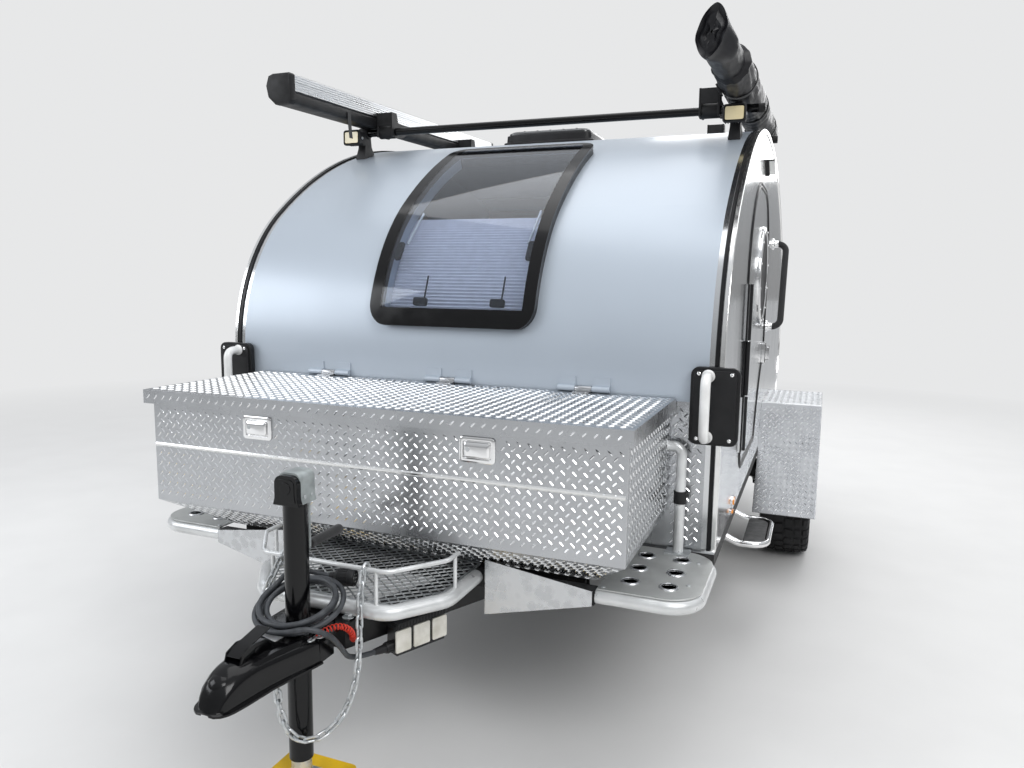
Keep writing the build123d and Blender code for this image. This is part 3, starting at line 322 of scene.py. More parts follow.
class Builder:
    """Collects simple closed shapes into one mesh with several materials."""

    def __init__(self):
        self.verts = []
        self.faces = []
        self.slots = []

    def add(self, verts, faces, slot=0):
        start = len(self.verts)
        self.verts.extend(Vector(v) for v in verts)
        self.faces.extend([i + start for i in f] for f in faces)
        self.slots.extend([slot] * len(faces))

    def box(self, low, high, slot=0, place=None):
        x0, y0, z0 = low
        x1, y1, z1 = high
        place = place or Matrix()
        corners = [place @ Vector((x, y, z)) for z in (z0, z1) for x, y in rect(x0, x1, y0, y1)]
        self.add(corners, BOX_FACES, slot)

    def prism(self, outline, depth, place=None, slot=0):
        """An outline in local XY, carried along local Z by depth."""
        place = place or Matrix()
        self.rings([[place @ Vector((x, y, z)) for x, y in outline] for z in (0, depth)], slot)

    def rings(self, rings, slot=0, closed=False):
        """A skin over rings of points that have equal counts."""
        n, count = len(rings[0]), len(rings)
        faces = []
        for j in range(count if closed else count - 1):
            a, b = j * n, ((j + 1) % count) * n
            faces += [(a + i, a + (i + 1) % n, b + (i + 1) % n, b + i) for i in range(n)]
        if not closed:
            faces.append(tuple(reversed(range(n))))
            faces.append(tuple((count - 1) * n + i for i in range(n)))
        self.add([p for ring in rings for p in ring], faces, slot)

    def tube(self, points, radius, sides=12, slot=0, closed=False, radii=None):
        """A round bar along points, with its frame carried without twist."""
        pts = [Vector(p) for p in points]
        count = len(pts)
        rings, normal = [], None
        for i, p in enumerate(pts):
            before = pts[i - 1] if (i or closed) else p
            after = pts[(i + 1) % count] if (i < count - 1 or closed) else p
            tangent = (after - before).normalized()
            if normal is None:
                normal = tangent.orthogonal()
            normal = (normal - tangent * normal.dot(tangent)).normalized()
            other = tangent.cross(normal)
            r = radii[i] if radii else radius
            rings.append([p + (normal * cos(a) + other * sin(a)) * r for a in turns(sides)])
        self.rings(rings, slot, closed)

    def rod(self, start, end, radius, sides=20, slot=0):
        self.tube([start, end], radius, sides, slot)

    def lathe(self, profile, place, sides=32, slot=0):
        """A closed turned shape from (radius, height) pairs round local Z."""
        self.rings([[place @ Vector(((r or TINY) * cos(a), (r or TINY) * sin(a), h)) for a in turns(sides)]
                    for r, h in profile], slot)

    def button(self, place, r, edge, h, crown, sides=14, slot=0, foot=0.0):
        """A screw head, bolt head or washer: foot radius, top radius, its height and the crown's."""
        self.lathe([(0, foot), (r, foot), (edge, h), (0, crown)], place, sides, slot)

    def stack(self, place, rows, slot=0):
        """Rounded rectangles skinned one after another: width, height, corner, place along local Z."""
        self.rings([[place @ Vector((x, y, z)) for x, y in rounded(w, h, r)] for w, h, r, z in rows], slot)

    def build(self, name, materials, bevel=0.0, segments=2, angle=35.0, slot=None, replaces="", body=CHASSIS):
        """The piece, with its materials' keys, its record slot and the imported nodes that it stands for."""
        mesh = bpy.data.meshes.new(name)
        mesh.from_pydata([tuple(v) for v in self.verts], [], self.faces)
        for key in materials.split():
            mesh.materials.append(MAT[key])
        mesh.polygons.foreach_set("material_index", self.slots)
        mesh.validate()
        made = bmesh.new()
        made.from_mesh(mesh)
        bmesh.ops.recalc_face_normals(made, faces=made.faces)
        made.to_mesh(mesh)
        made.free()
        mesh.polygons.foreach_set("use_smooth", [True] * len(mesh.polygons))
        mesh.set_sharp_from_angle(angle=radians(angle))
        obj = put(name, mesh)
        if bevel:
            soften(obj, bevel, segments, angle)
        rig.ride(obj, body)
        if slot:
            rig.slot(obj, slot)
        if replaces:
            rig.replaces(obj, *replaces.split())
        return obj


# Materials

MAT = {}


class Shade:
    """One material round a Principled shader. A texture is a socket, or a tuple of a noise's settings."""

    def __init__(self, key, name, color, roughness=0.5, metallic=0.0, **more):
        material = bpy.data.materials.new(name)
        material.use_nodes = True
        material.diffuse_color = (*color, 1.0)
        MAT[key] = material
        self.tree = material.node_tree
        self.shader = self.tree.nodes["Principled BSDF"]
        self.color = color
        values = {"Base Color": (*color, 1.0), "Roughness": roughness, "Metallic": metallic}
        names = {"ior": "IOR", "specular_ior_level": "Specular IOR Level"}
        values.update({names.get(k, k.replace("_", " ").title()): v for k, v in more.items()})
        for key, value in values.items():
            self.shader.inputs[key].default_value = value
        self.coords = self.new("TexCoord").outputs["Object"]

    def new(self, kind, values=(), **links):
        """A node with some inputs set, and some linked from the sockets named."""
        node = self.tree.nodes.new("ShaderNode" + kind)
        for key, value in dict(values).items():
            node.inputs[key].default_value = value
        for key, socket in links.items():
            self.tree.links.new(socket, node.inputs[key])
        return node

    def mapped(self, stretch):
        return self.new("Mapping", {"Scale": stretch}, Vector=self.coords).outputs["Vector"]

    def noise(self, scale, detail=3.0, stretch=(1, 1, 1), distortion=0.0):
        values = {"Scale": scale, "Detail": detail, "Distortion": distortion}
        return self.new("TexNoise", values, Vector=self.mapped(stretch)).outputs["Fac"]

    def voronoi(self, scale, out="Distance"):
        return self.new("TexVoronoi", {"Scale": scale}, Vector=self.mapped((1, 1, 1))).outputs[out]

    def wave(self, scale, direction="X", distortion=0.0):
        node = self.new("TexWave", {"Scale": scale, "Distortion": distortion}, Vector=self.mapped((1, 1, 1)))
        node.bands_direction = direction
        return node.outputs["Fac"]

    def socket(self, texture):
        return self.noise(*texture) if isinstance(texture, tuple) else texture

    def span(self, value, low, high, from_low=0.3, from_high=0.7):
        values = {"From Min": from_low, "From Max": from_high, "To Min": low, "To Max": high}
        return self.new("MapRange", values, Value=value).outputs["Result"]

    def tint(self, texture, dark, light, low=0.35, high=0.65):
        """Base colour between two colours by a texture."""
        node = self.new("ValToRGB", Fac=self.socket(texture))
        for stop, place, color in zip(node.color_ramp.elements, (low, high), (dark, light)):
            stop.position = place
            stop.color = (*color, 1.0)
        self.tree.links.new(node.outputs["Color"], self.shader.inputs["Base Color"])
        return self

    def vary(self, texture, amount):
        """Base colour a little darker and lighter by a texture."""
        dark, light = (tuple(min(1.0, c * k) for c in self.color) for k in (1 - amount, 1 + amount))
        return self.tint(texture, dark, light)

    def rough(self, texture, low, high):
        self.tree.links.new(self.span(self.socket(texture), low, high), self.shader.inputs["Roughness"])
        return self

    def bump(self, texture, strength, distance):
        node = self.new("Bump", {"Strength": strength, "Distance": distance}, Height=self.socket(texture))
        normal = self.shader.inputs["Normal"]
        if normal.is_linked:
            self.tree.links.new(normal.links[0].from_socket, node.inputs["Normal"])
        self.tree.links.new(node.outputs["Normal"], normal)
        return self

    def product(self, a, b):
        node = self.new("Math")
        node.operation = "MULTIPLY"
        for socket, place in ((a, 0), (b, 1)):
            self.tree.links.new(socket, node.inputs[place])
        return node.outputs["Value"]

    def fade(self, span, color):
        """Fade into a plain colour with the distance from the middle, for the camera alone."""
        length = self.new("VectorMath")
        length.operation = "LENGTH"
        self.tree.links.new(self.coords, length.inputs[0])
        rays = self.new("LightPath")
        far = self.product(self.span(length.outputs["Value"], 0, 1.0, *span), rays.outputs["Is Camera Ray"])
        glow = self.new("Emission", {"Color": (*color, 1.0)})
        mix = self.new("MixShader", Fac=far)
        self.tree.links.new(self.shader.outputs["BSDF"], mix.inputs[1])
        self.tree.links.new(glow.outputs["Emission"], mix.inputs[2])
        self.tree.links.new(mix.outputs["Shader"], self.tree.nodes["Material Output"].inputs["Surface"])
        return self


PALE = (0.8, 0.805, 0.81)          # the background as the camera sees it
FLOOR_FADE = (3.4, 8.5)             # distances between which the floor fades into it


def make_materials():
    """Every material, by key. A texture is a noise's scale and detail, then its stretch and distortion."""
    # The shell's silver base colour is tinted blue as a painted reflection of the sky; its metal and coat also reflect
    # the studio for real.
    s = Shade("shell", "silver_with_painted_sky_tint", (0.46, 0.515, 0.58), 0.42, 0.36, coat_weight=0.35, coat_roughness=0.2)
    s.vary((1.2, 2.0), 0.015).rough((5.0, 5.0), 0.39, 0.44).bump((1.2, 1.0), 0.12, 0.002)
    s = Shade("side", "side_sheet", (0.66, 0.67, 0.68), 0.18, 1.0)
    s.vary((3.0, 4.0, (1, 1, 0.3)), 0.03).rough((6.0, 6.0), 0.12, 0.2)
    s.bump((2.4, 1.0, (1, 3, 0.5)), 0.3, 0.004)
    s = Shade("lug", "tread_lug", (0.86, 0.87, 0.88), 0.13, 1.0)
    s.rough((40.0, 3.0), 0.1, 0.18)
    s = Shade("tread", "tread_sheet", (0.5, 0.51, 0.525), 0.28, 1.0)
    s.vary((9.0, 2.0), 0.03).rough((14.0, 2.0), 0.24, 0.3).bump((60.0, 2.0), 0.06, 0.0005)
    s = Shade("bright", "bright_trim", (0.83, 0.83, 0.82), 0.16, 1.0)
    s.rough((40.0, 5.0), 0.12, 0.24)
    s = Shade("black_trim", "black_trim", (0.006, 0.006, 0.007), 0.34, specular_ior_level=0.3)
    s.rough((30.0, 5.0), 0.28, 0.42).bump((300.0, 3.0), 0.08, 0.0004)
    s = Shade("frame", "frame_paint", (0.005, 0.005, 0.0055), 0.34, specular_ior_level=0.3)
    s.vary((12.0, 6.0), 0.35).rough((25.0, 6.0), 0.26, 0.46).bump((140.0, 4.0), 0.1, 0.0006)
    s = Shade("gloss_black", "gloss_black", (0.002, 0.002, 0.0025), 0.12, specular_ior_level=0.32)
    s.rough((20.0, 6.0), 0.08, 0.22).bump((60.0, 3.0), 0.06, 0.0006)
    s = Shade("zinc", "zinc", (0.6, 0.62, 0.63), 0.4, 0.9)
    s.tint(s.voronoi(70.0, out="Color"), (0.5, 0.52, 0.53), (0.68, 0.7, 0.71), 0.2, 0.8)
    s.rough((35.0, 6.0), 0.3, 0.52).bump((120.0, 4.0), 0.08, 0.0005)
    s = Shade("cast_zinc", "cast_zinc", (0.36, 0.39, 0.39), 0.5, 0.55)
    s.vary((30.0, 6.0), 0.2).bump((260.0, 4.0), 0.2, 0.0008)
    s = Shade("rim_tube", "tube_coat", (0.7, 0.71, 0.71), 0.34, 0.5, coat_weight=0.3, coat_roughness=0.2)
    s.vary((14.0, 7.0), 0.1).rough((30.0, 6.0), 0.26, 0.46).bump((220.0, 4.0), 0.08, 0.0004)
    s = Shade("swirl", "swirl_sheet", (0.58, 0.59, 0.6), 0.28, 1.0)
    s.vary(s.voronoi(38.0), 0.1).rough(s.voronoi(38.0), 0.22, 0.34)
    s.bump(s.wave(60.0, "DIAGONAL", 9.0), 0.12, 0.0004)
    s = Shade("satin", "satin_sheet", (0.54, 0.55, 0.54), 0.48, 0.75)
    s.vary((16.0, 6.0), 0.06).rough((30.0, 6.0), 0.42, 0.56).bump((180.0, 4.0), 0.08, 0.0004)
    s = Shade("chrome", "chrome", (0.88, 0.88, 0.88), 0.05, 1.0)
    s.rough((30.0, 6.0), 0.03, 0.12)
    s = Shade("plastic", "black_plastic", (0.01, 0.01, 0.011), 0.46, specular_ior_level=0.35)
    s.vary((18.0, 5.0), 0.25).rough((22.0, 5.0), 0.38, 0.54).bump((520.0, 3.0), 0.16, 0.0005)
    s = Shade("vinyl", "coated_cloth", (0.007, 0.007, 0.009), 0.4, specular_ior_level=0.32)
    weave = s.product(s.wave(340.0, "Y"), s.wave(340.0, "Z"))
    s.vary((10.0, 6.0), 0.4).rough((14.0, 6.0), 0.32, 0.54).bump((26.0, 4.0, (1, 0.25, 1)), 0.5, 0.004)
    s.bump(weave, 0.06, 0.0003)
    s = Shade("glass", "window_glass", (0.7, 0.76, 0.86), 0.02, transmission_weight=1.0, ior=1.45)
    s.bump((3.0, 1.0), 0.05, 0.002)
    s = Shade("blind", "blind_cloth", (0.86, 0.85, 0.9), 0.8, sheen_weight=0.2)
    s.vary((40.0, 5.0), 0.04).bump((600.0, 2.0), 0.15, 0.0003)
    s = Shade("plywood", "plywood", (0.62, 0.44, 0.26), 0.42, coat_weight=0.3, coat_roughness=0.2)
    s.tint((6.0, 8.0, (0.6, 6, 10), 1.2), (0.5, 0.34, 0.19), (0.7, 0.52, 0.32))
    s.bump((18.0, 8.0, (0.6, 8, 12)), 0.08, 0.0004)
    s = Shade("floor_board", "floor_board", (0.02, 0.02, 0.02), 0.7)
    s.vary((30.0, 8.0), 0.3).bump((200.0, 5.0), 0.2, 0.001)
    s = Shade("lining", "cabin_lining", (0.03, 0.036, 0.048), 0.85)
    s.bump((300.0, 3.0), 0.2, 0.0006).vary((8.0, 4.0), 0.2)
    s = Shade("bed", "bed_cloth", (0.34, 0.36, 0.39), 0.85, sheen_weight=0.4)
    weave = s.product(s.wave(420.0, "X"), s.wave(420.0, "Y"))
    s.vary((220.0, 3.0), 0.2).bump(weave, 0.3, 0.0006)
    s = Shade("tyre", "tyre_rubber", (0.014, 0.014, 0.015), 0.72, specular_ior_level=0.35)
    s.vary((25.0, 7.0), 0.25).rough((16.0, 6.0), 0.62, 0.82).bump((420.0, 4.0), 0.15, 0.0006)
    s = Shade("wheel", "wheel_paint", (0.05, 0.05, 0.052), 0.3, 0.6, coat_weight=0.5, coat_roughness=0.1)
    s.vary((20.0, 6.0), 0.2).rough((30.0, 5.0), 0.24, 0.4)
    s = Shade("foam", "foam_grip", (0.016, 0.016, 0.017), 0.85, sheen_weight=0.2)
    s.bump(s.voronoi(900.0), 0.35, 0.0006)
    s = Shade("amber", "amber_lens", (0.75, 0.27, 0.02), 0.12, coat_weight=1.0)
    s.bump(s.wave(220.0, "Y"), 0.3, 0.0008)
    s = Shade("red_lens", "red_lens", (0.55, 0.015, 0.015), 0.12, coat_weight=1.0)
    s.bump(s.wave(160.0, "X"), 0.3, 0.0008)
    s = Shade("clear_lens", "clear_lens", (0.85, 0.86, 0.84), 0.1, coat_weight=1.0)
    s.bump(s.voronoi(160.0), 0.3, 0.0008)
    s = Shade("pod_lens", "pod_lens", (0.72, 0.62, 0.38), 0.14, coat_weight=1.0)
    s.bump(s.voronoi(160.0), 0.3, 0.0008)
    s = Shade("cable", "cable_rubber", (0.04, 0.044, 0.05), 0.45)
    s.vary((60.0, 6.0), 0.3).rough((40.0, 6.0), 0.36, 0.6).bump((500.0, 3.0), 0.15, 0.0003)
    s = Shade("offwhite", "box_shell", (0.66, 0.64, 0.57), 0.42)
    s.tint((20.0, 8.0), (0.5, 0.48, 0.41), (0.74, 0.72, 0.66), 0.3, 0.6).bump((300.0, 3.0), 0.1, 0.0004)
    s = Shade("yellow", "yellow_block", (0.8, 0.5, 0.015), 0.48)
    s.vary((16.0, 7.0), 0.12).rough((30.0, 6.0), 0.38, 0.6).bump((240.0, 4.0), 0.15, 0.0006)
    s = Shade("red_cord", "red_cord", (0.62, 0.035, 0.015), 0.4)
    s.bump((300.0, 3.0), 0.1, 0.0003)
    s = Shade("white", "pale_grip", (0.8, 0.8, 0.79), 0.3, coat_weight=0.4, coat_roughness=0.1)
    s.vary((30.0, 6.0), 0.05).bump((200.0, 3.0), 0.05, 0.0003)
    s = Shade("label", "bare_label", (0.7, 0.71, 0.72), 0.35, 0.2)
    s.vary((60.0, 6.0), 0.06)
    s = Shade("floor", "floor", (0.74, 0.735, 0.725), 0.75)
    s.vary((3.0, 6.0), 0.015).fade(FLOOR_FADE, PALE).bump((80.0, 4.0), 0.05, 0.001)
    s = Shade("anodised", "anodised_face", (0.7, 0.71, 0.72), 0.3, 1.0)
    s.rough((20.0, 5.0, (1, 0.1, 1)), 0.24, 0.38)
    s = Shade("cast_black", "cast_black", (0.012, 0.012, 0.013), 0.52, specular_ior_level=0.35)
    s.vary((40.0, 5.0), 0.25).rough((30.0, 5.0), 0.44, 0.62).bump((380.0, 4.0), 0.25, 0.0006)
    s = Shade("smoked", "smoked_lid", (0.035, 0.036, 0.038), 0.18, coat_weight=0.5)
    s.rough((12.0, 5.0), 0.14, 0.28).bump((30.0, 3.0), 0.05, 0.001)


make_materials()

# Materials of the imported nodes
NODE_MATERIALS = {
    "shell": "front_skin hatch", "side": "side_walls door_left door_right", "bright": "edge_trim",
    "tread": "kick_panel fenders cargo_box cargo_lid", "black_trim": "window_frame", "blind": "window_blind",
    "glass": "window_glass door_glass_left door_glass_right", "floor_board": "floor_deck",
    "plywood": "galley_cabinet", "bed": "mattress", "frame": "frame_rails cross_members axle",
    "tyre": "tyre_left tyre_right", "wheel": "rim_left rim_right", "satin": "step_plates",
    "gloss_black": "coupler coupler_latch jack_tube rack_bars", "yellow": "jack_block",
    "chrome": "box_latches",
    "zinc": "jack_leg basket_deck side_steps stabiliser_left stabiliser_right "
            "safety_chain short_chain curly_clip",
    "rim_tube": "basket_rim step_tubes", "white": "front_grips", "foam": "grab_handles",
    "amber": "body_lights",
    "plastic": "rack_feet awning_cassette work_lights roof_vent junction_box cable_plug",
    "vinyl": "awning_bag", "cable": "cable_coil cable_lead cable_tail", "red_cord": "curly_cord",
}


def dress_nodes():
    """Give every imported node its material."""
    for key, names in NODE_MATERIALS.items():
        for name in names.split():
            mesh = NODES[name].data
            if not mesh.materials:
                mesh.materials.append(MAT[key])
            for i in range(len(mesh.materials)):
                mesh.materials[i] = MAT[key]


GUSSET_BACK = -1.4205
# Nodes with two materials: keys, and which faces take the second one, by a face's middle and normal
SPLITS = {
    "cross_members": ("frame", "swirl",
                      lambda c, n: c.y < GUSSET_BACK and abs(c.x) > 0.29 and abs(n.y) > 0.5),
    "front_skin": ("shell", "lining", lambda c, n: (c.y - 0.5) * n.y + (c.z - 1.0) * n.z < -0.15),
    "side_walls": ("side", "lining", lambda c, n: c.x * n.x < -0.4 and abs(c.x) < 0.83),
    "side_steps": ("chrome", "cast_black", lambda c, n: abs(n.z) > 0.97),
}


def split_nodes():
    for name, (first, second, rule) in SPLITS.items():
        mesh = NODES[name].data
        mesh.materials.clear()
        mesh.materials.append(MAT[first])
        mesh.materials.append(MAT[second])
        for face in mesh.polygons:
            face.material_index = int(rule(face.center, face.normal))


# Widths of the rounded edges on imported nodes
EDGE_WIDTHS = {
    "cargo_lid": 0.003, "fenders": 0.003, "cargo_box": 0.004, "jack_block": 0.005, "step_plates": 0.0012,
    "junction_box": 0.003, "frame_rails": 0.003, "cross_members": 0.002, "door_left": 0.0015,
    "door_right": 0.0015, "galley_cabinet": 0.0012, "stabiliser_left": 0.002, "stabiliser_right": 0.002,
}


def soften_nodes():
    for name, width in EDGE_WIDTHS.items():
        weld = NODES[name].modifiers.new("weld", "WELD")
        weld.merge_threshold = 0.00002
        soften(NODES[name], width, 2, 40.0)


# Shell outline

def arc_pair(width, height, turn):
    """Radii of two tangent arcs that turn 90 degrees over a width and a height."""
    s, c = sin(turn), cos(turn)
    det = s * c - (1 - s) * (1 - c)
    return (height * c - (1 - s) * width) / det, (s * width - (1 - c) * height) / det


FRONT_R, FRONT_WIDE_R = arc_pair(CREST[0] - FRONT_Y, CREST[1] - TURN_Z, FRONT_TURN)
REAR_R, REAR_WIDE_R = arc_pair(REAR[0] - CREST[0], CREST[1] - REAR[1], REAR_TURN)
# The outline's arcs from front to tail: centre, radius, first and last angle in the YZ plane
SHELL_ARCS = (
    ((FRONT_Y + FRONT_R, TURN_Z), FRONT_R, pi, pi - FRONT_TURN),
    ((CREST[0], CREST[1] - FRONT_WIDE_R), FRONT_WIDE_R, pi - FRONT_TURN, pi / 2),
    ((CREST[0], CREST[1] - REAR_WIDE_R), REAR_WIDE_R, pi / 2, REAR_TURN),
    ((REAR[0] - REAR_R, REAR[1]), REAR_R, REAR_TURN, 0),
    ((REAR[0] - TUCK_R, REAR[1]), TUCK_R, 0, -asin((REAR[1] - FLOOR_Z) / TUCK_R)),
)


def shell_line(step):
    """(y, z, outward y, outward z) along the shell from its front foot to its tail."""
    found = [(FRONT_Y, FLOOR_Z + 0.01, -1.0, 0)]
    for (cy, cz), r, a0, a1 in SHELL_ARCS:
        count = max(3, int(abs(a1 - a0) * r / step))
        for k in range(count + 1):
            a = a0 + (a1 - a0) * k / count
            point = (cy + r * cos(a), cz + r * sin(a), cos(a), sin(a))
            if dist(point[:2], found[-1][:2]) > step / 4:
                found.append(point)
    return found


def front_place(length, lift):
    """(y, z, outward y, outward z) at a distance along the curved front, from where it begins to curve."""
    for (cy, cz), r, a0, a1 in SHELL_ARCS:
        span = abs(a1 - a0) * r
        if length <= span:
            a = a0 + (a1 - a0) * length / span
            return cy + (r + lift) * cos(a), cz + (r + lift) * sin(a), cos(a), sin(a)
        length -= span
    raise ValueError("past the tail")


def front_length(z):
    """Distance along the front arcs to a height, up to the crest."""
    total = 0.0
    for (cy, cz), r, a0, a1 in SHELL_ARCS[:2]:
        if z <= cz + r * sin(a1):
            return total + abs(a0 - (pi - asin((z - cz) / r))) * r
        total += abs(a1 - a0) * r
    return total


def shell_height(y):
    """The roof's height over a place along the trailer."""
    for (cy, cz), r, a0, a1 in SHELL_ARCS[:3]:
        y0, y1 = sorted((cy + r * cos(a0), cy + r * cos(a1)))
        if y0 <= y <= y1:
            return cz + sqrt(r * r - (y - cy) ** 2)
    return 0.0


# Tread plate

LUG_ROW = 0.0145         # between rows
LUG_PITCH = 0.028        # between lugs in a row; each second row is shifted by half of it
LUG_LEN = 0.0215
LUG_W = 0.0052
LUG_H = 0.0018
LUG_SINK = -0.0004
LUG_FACES = ((0, 1, 6), (1, 2, 7, 6), (2, 3, 7), (3, 4, 7), (4, 5, 6, 7), (5, 0, 6), (5, 4, 3, 2, 1, 0))


def edge_distances(outline, points):
    """For each edge of a convex polygon, how far inside it each of the points is."""
    edges = list(zip(outline, outline[1:] + outline[:1]))
    sign = 1 if sum(ax * by - bx * ay for (ax, ay), (bx, by) in edges) > 0 else -1
    for (ax, ay), (bx, by) in edges:
        length = sign * dist((ax, ay), (bx, by))
        yield [((bx - ax) * (v - ay) - (by - ay) * (u - ax)) / length for u, v in points]


def inside(outline, point, margin):
    return all(found >= margin for found, in edge_distances(outline, [point]))


def add_tread(build, origin, u_axis, v_axis, outline, holes=()):
    """Raised lugs over a flat panel. The outline and holes are polygons in (u, v) metres."""
    place = axes_place(origin, u_axis, v_axis)
    margin = LUG_LEN * 0.36
    us, vs = zip(*outline)
    cols = int((max(us) - min(us)) / LUG_PITCH) + 1
    rows = int((max(vs) - min(vs)) / LUG_ROW) + 1
    off_u = min(us) + (max(us) - min(us) - cols * LUG_PITCH) / 2 + LUG_PITCH / 4
    off_v = min(vs) + (max(vs) - min(vs) - rows * LUG_ROW) / 2 + LUG_ROW / 2
    l, w = LUG_LEN / 2, LUG_W / 2
    base = ((-l, 0), (-l * 0.45, -w), (l * 0.45, -w), (l, 0), (l * 0.45, w), (-l * 0.45, w))
    shape = [(x, y, LUG_SINK) for x, y in base] + [(-l * 0.62, 0, LUG_H), (l * 0.62, 0, LUG_H)]
    for i in range(cols):
        for j in range(rows):
            at = off_u + (i + (j % 2) / 2) * LUG_PITCH, off_v + j * LUG_ROW
            if not inside(outline, at, margin) or any(inside(hole, at, -margin) for hole in holes):
                continue
            lug = place @ moved((*at, 0)) @ Matrix.Rotation(radians(45 if j % 2 else -45), 4, "Z")
            build.add([lug @ Vector(p) for p in shape], LUG_FACES)


# Camera, light and floor

CAMERA_AT = (1.0956, -3.24, 1.3805)
CAMERA_YAW = 21.68
CAMERA_DOWN = 7.709
CAMERA_ROLL = 0.716
CAMERA_LENS = 27.2
FLOOR_HALF = 60.0
# name, place, aim, size, power, colour
LIGHTS = (
    ("key", (4.5, -5.0, 5.5), (0, -0.3, 0.9), (4.0, 3.0), 245, (1, 1, 1)),
    ("fill", (-5.0, -4.5, 3.6), (0, -0.5, 0.9), (4.0, 3.0), 130, (0.93, 0.96, 1.0)),
    ("top", (0.5, 0.5, 6.0), (0, 0, 1.0), (5.0, 6.0), 125, (1, 1, 1)),
    ("back", (1.0, 6.5, 4.0), (0, 0, 1.0), (4.0, 3.0), 130, (1, 1, 1)),
)
# The studio's light from floor to ceiling: height, colour
STUDIO = ((0.4, (0.2, 0.19, 0.185, 1)), (0.56, (0.36, 0.37, 0.38, 1)), (0.95, (0.74, 0.76, 0.79, 1)))


def add_camera():
    yaw, down, roll = (radians(a) for a in (CAMERA_YAW, CAMERA_DOWN, CAMERA_ROLL))
    ahead = Vector((-sin(yaw) * cos(down), cos(yaw) * cos(down), -sin(down)))
    right = Vector((cos(yaw), sin(yaw), 0))
    up = right.cross(ahead)
    axes = (right * cos(roll) + up * sin(roll), up * cos(roll) - right * sin(roll), -ahead)
    place = Matrix(axes).transposed().to_4x4()
    place.translation = Vector(CAMERA_AT)
    data = bpy.data.cameras.new("camera")
    data.lens = CAMERA_LENS
    data.sensor_width = 36.0
    data.clip_start = 0.05
    data.clip_end = 200.0
    camera = put("camera", data)
    camera.matrix_world = place
    bpy.context.scene.camera = camera


def add_lights():
    for name, at, aim, size, power, color in LIGHTS:
        data = bpy.data.lights.new(name, "AREA")
        data.shape = "RECTANGLE"
        data.size, data.size_y = size
        data.energy = power
        data.color = color
        light = put(name, data)
        light.location = at
        light.rotation_euler = (Vector(aim) - Vector(at)).to_track_quat("-Z", "Y").to_euler()


def add_world():
    """A soft studio: pale to the camera, and graded from floor to ceiling in the light that it gives."""
    world = bpy.data.worlds.new("studio")
    bpy.context.scene.world = world
    world.use_nodes = True
    nodes, link = world.node_tree.nodes, world.node_tree.links.new
    background = nodes["Background"]
    background.inputs["Strength"].default_value = 1.0
    coords, split, ramp, scale, pale, rays = (nodes.new("ShaderNode" + kind) for kind in (
        "TexCoord", "SeparateXYZ", "ValToRGB", "MapRange", "Mix", "LightPath"))
    stops = ramp.color_ramp.elements
    stops.new(STUDIO[1][0])
    for stop, (height, color) in zip(stops, STUDIO):
        stop.position = height
        stop.color = color
    scale.inputs["From Min"].default_value = -1.0
    scale.inputs["From Max"].default_value = 1.0
    pale.data_type = "RGBA"
    pale.inputs["B"].default_value = (*PALE, 1)
    link(coords.outputs["Generated"], split.inputs["Vector"])
    link(split.outputs["Z"], scale.inputs["Value"])
    link(scale.outputs["Result"], ramp.inputs["Fac"])
    link(rays.outputs["Is Camera Ray"], pale.inputs["Factor"])
    link(ramp.outputs["Color"], pale.inputs["A"])
    link(pale.outputs["Result"], background.inputs["Color"])


def add_floor():
    mesh = bpy.data.meshes.new("floor")
    mesh.from_pydata([(x * FLOOR_HALF, y * FLOOR_HALF, 0) for x, y in CORNERS], [], [(0, 1, 2, 3)])
    mesh.materials.append(MAT["floor"])
    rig.stage(put("floor", mesh))


# Cords. The routes repeat the ones in part.py, in metres.

CABLE_D = 0.013
CABLE_LEN = 2.45
GLAND_EXIT = (0.13395, -1.6573, 0.463)
LEAD_ROUTE = [GLAND_EXIT, (0.1162, -1.6954, 0.463), (0.093, -1.754, 0.474), (0.112, -1.806, 0.522),
              (0.11, -1.852, 0.58), (0.072, -1.888, 0.604)]
TAIL_ROUTE = [(-0.092, -1.78, 0.64), (-0.1, -1.73, 0.652), (-0.092, -1.69, 0.646),
              (-0.066, -1.663, 0.632), (-0.028, -1.655, 0.6253)]
PLUG_END = (0.04, -1.64, 0.6253)
COIL_AT = Vector((0, -1.812, 0.621))
COIL_TILT = radians(17.0)
COIL_START = radians(-47.0)
COIL_SPAN = -3.43        # turns, seen from above
COIL_POINTS = 14         # for each turn
# turns since the start, radius, height in the ring
COIL_LAY = ((0, 0.108, 0.006), (0.43, 0.108, -0.007), (1.0, 0.098, -0.009), (1.43, 0.093, -0.008),
            (2.0, 0.079, -0.004), (2.43, 0.079, 0.006), (3.0, 0.09, 0.01), (3.43, 0.1, 0.009))
CHAIN_D = 0.018
CHAIN_ROUTE = [(0.124, -1.7355, 0.69), (0.124, -1.753, 0.63), (0.126, -1.758, 0.53), (0.12, -1.762, 0.43),
               (0.098, -1.784, 0.345), (0.056, -1.828, 0.297), (0.02, -1.872, 0.313), (0.004, -1.892, 0.365),
               (-0.004, -1.9, 0.43), (0, -1.904, 0.498)]
SHORT_CHAIN_ROUTE = [(-0.112, -1.7355, 0.69), (-0.134, -1.752, 0.636), (-0.158, -1.762, 0.578),
                     (-0.164, -1.76, 0.52), (-0.158, -1.755, 0.489), (-0.143, -1.742, 0.464),
                     (-0.121, -1.724, 0.45), (-0.096, -1.704, 0.451), (-0.074, -1.685, 0.466)]
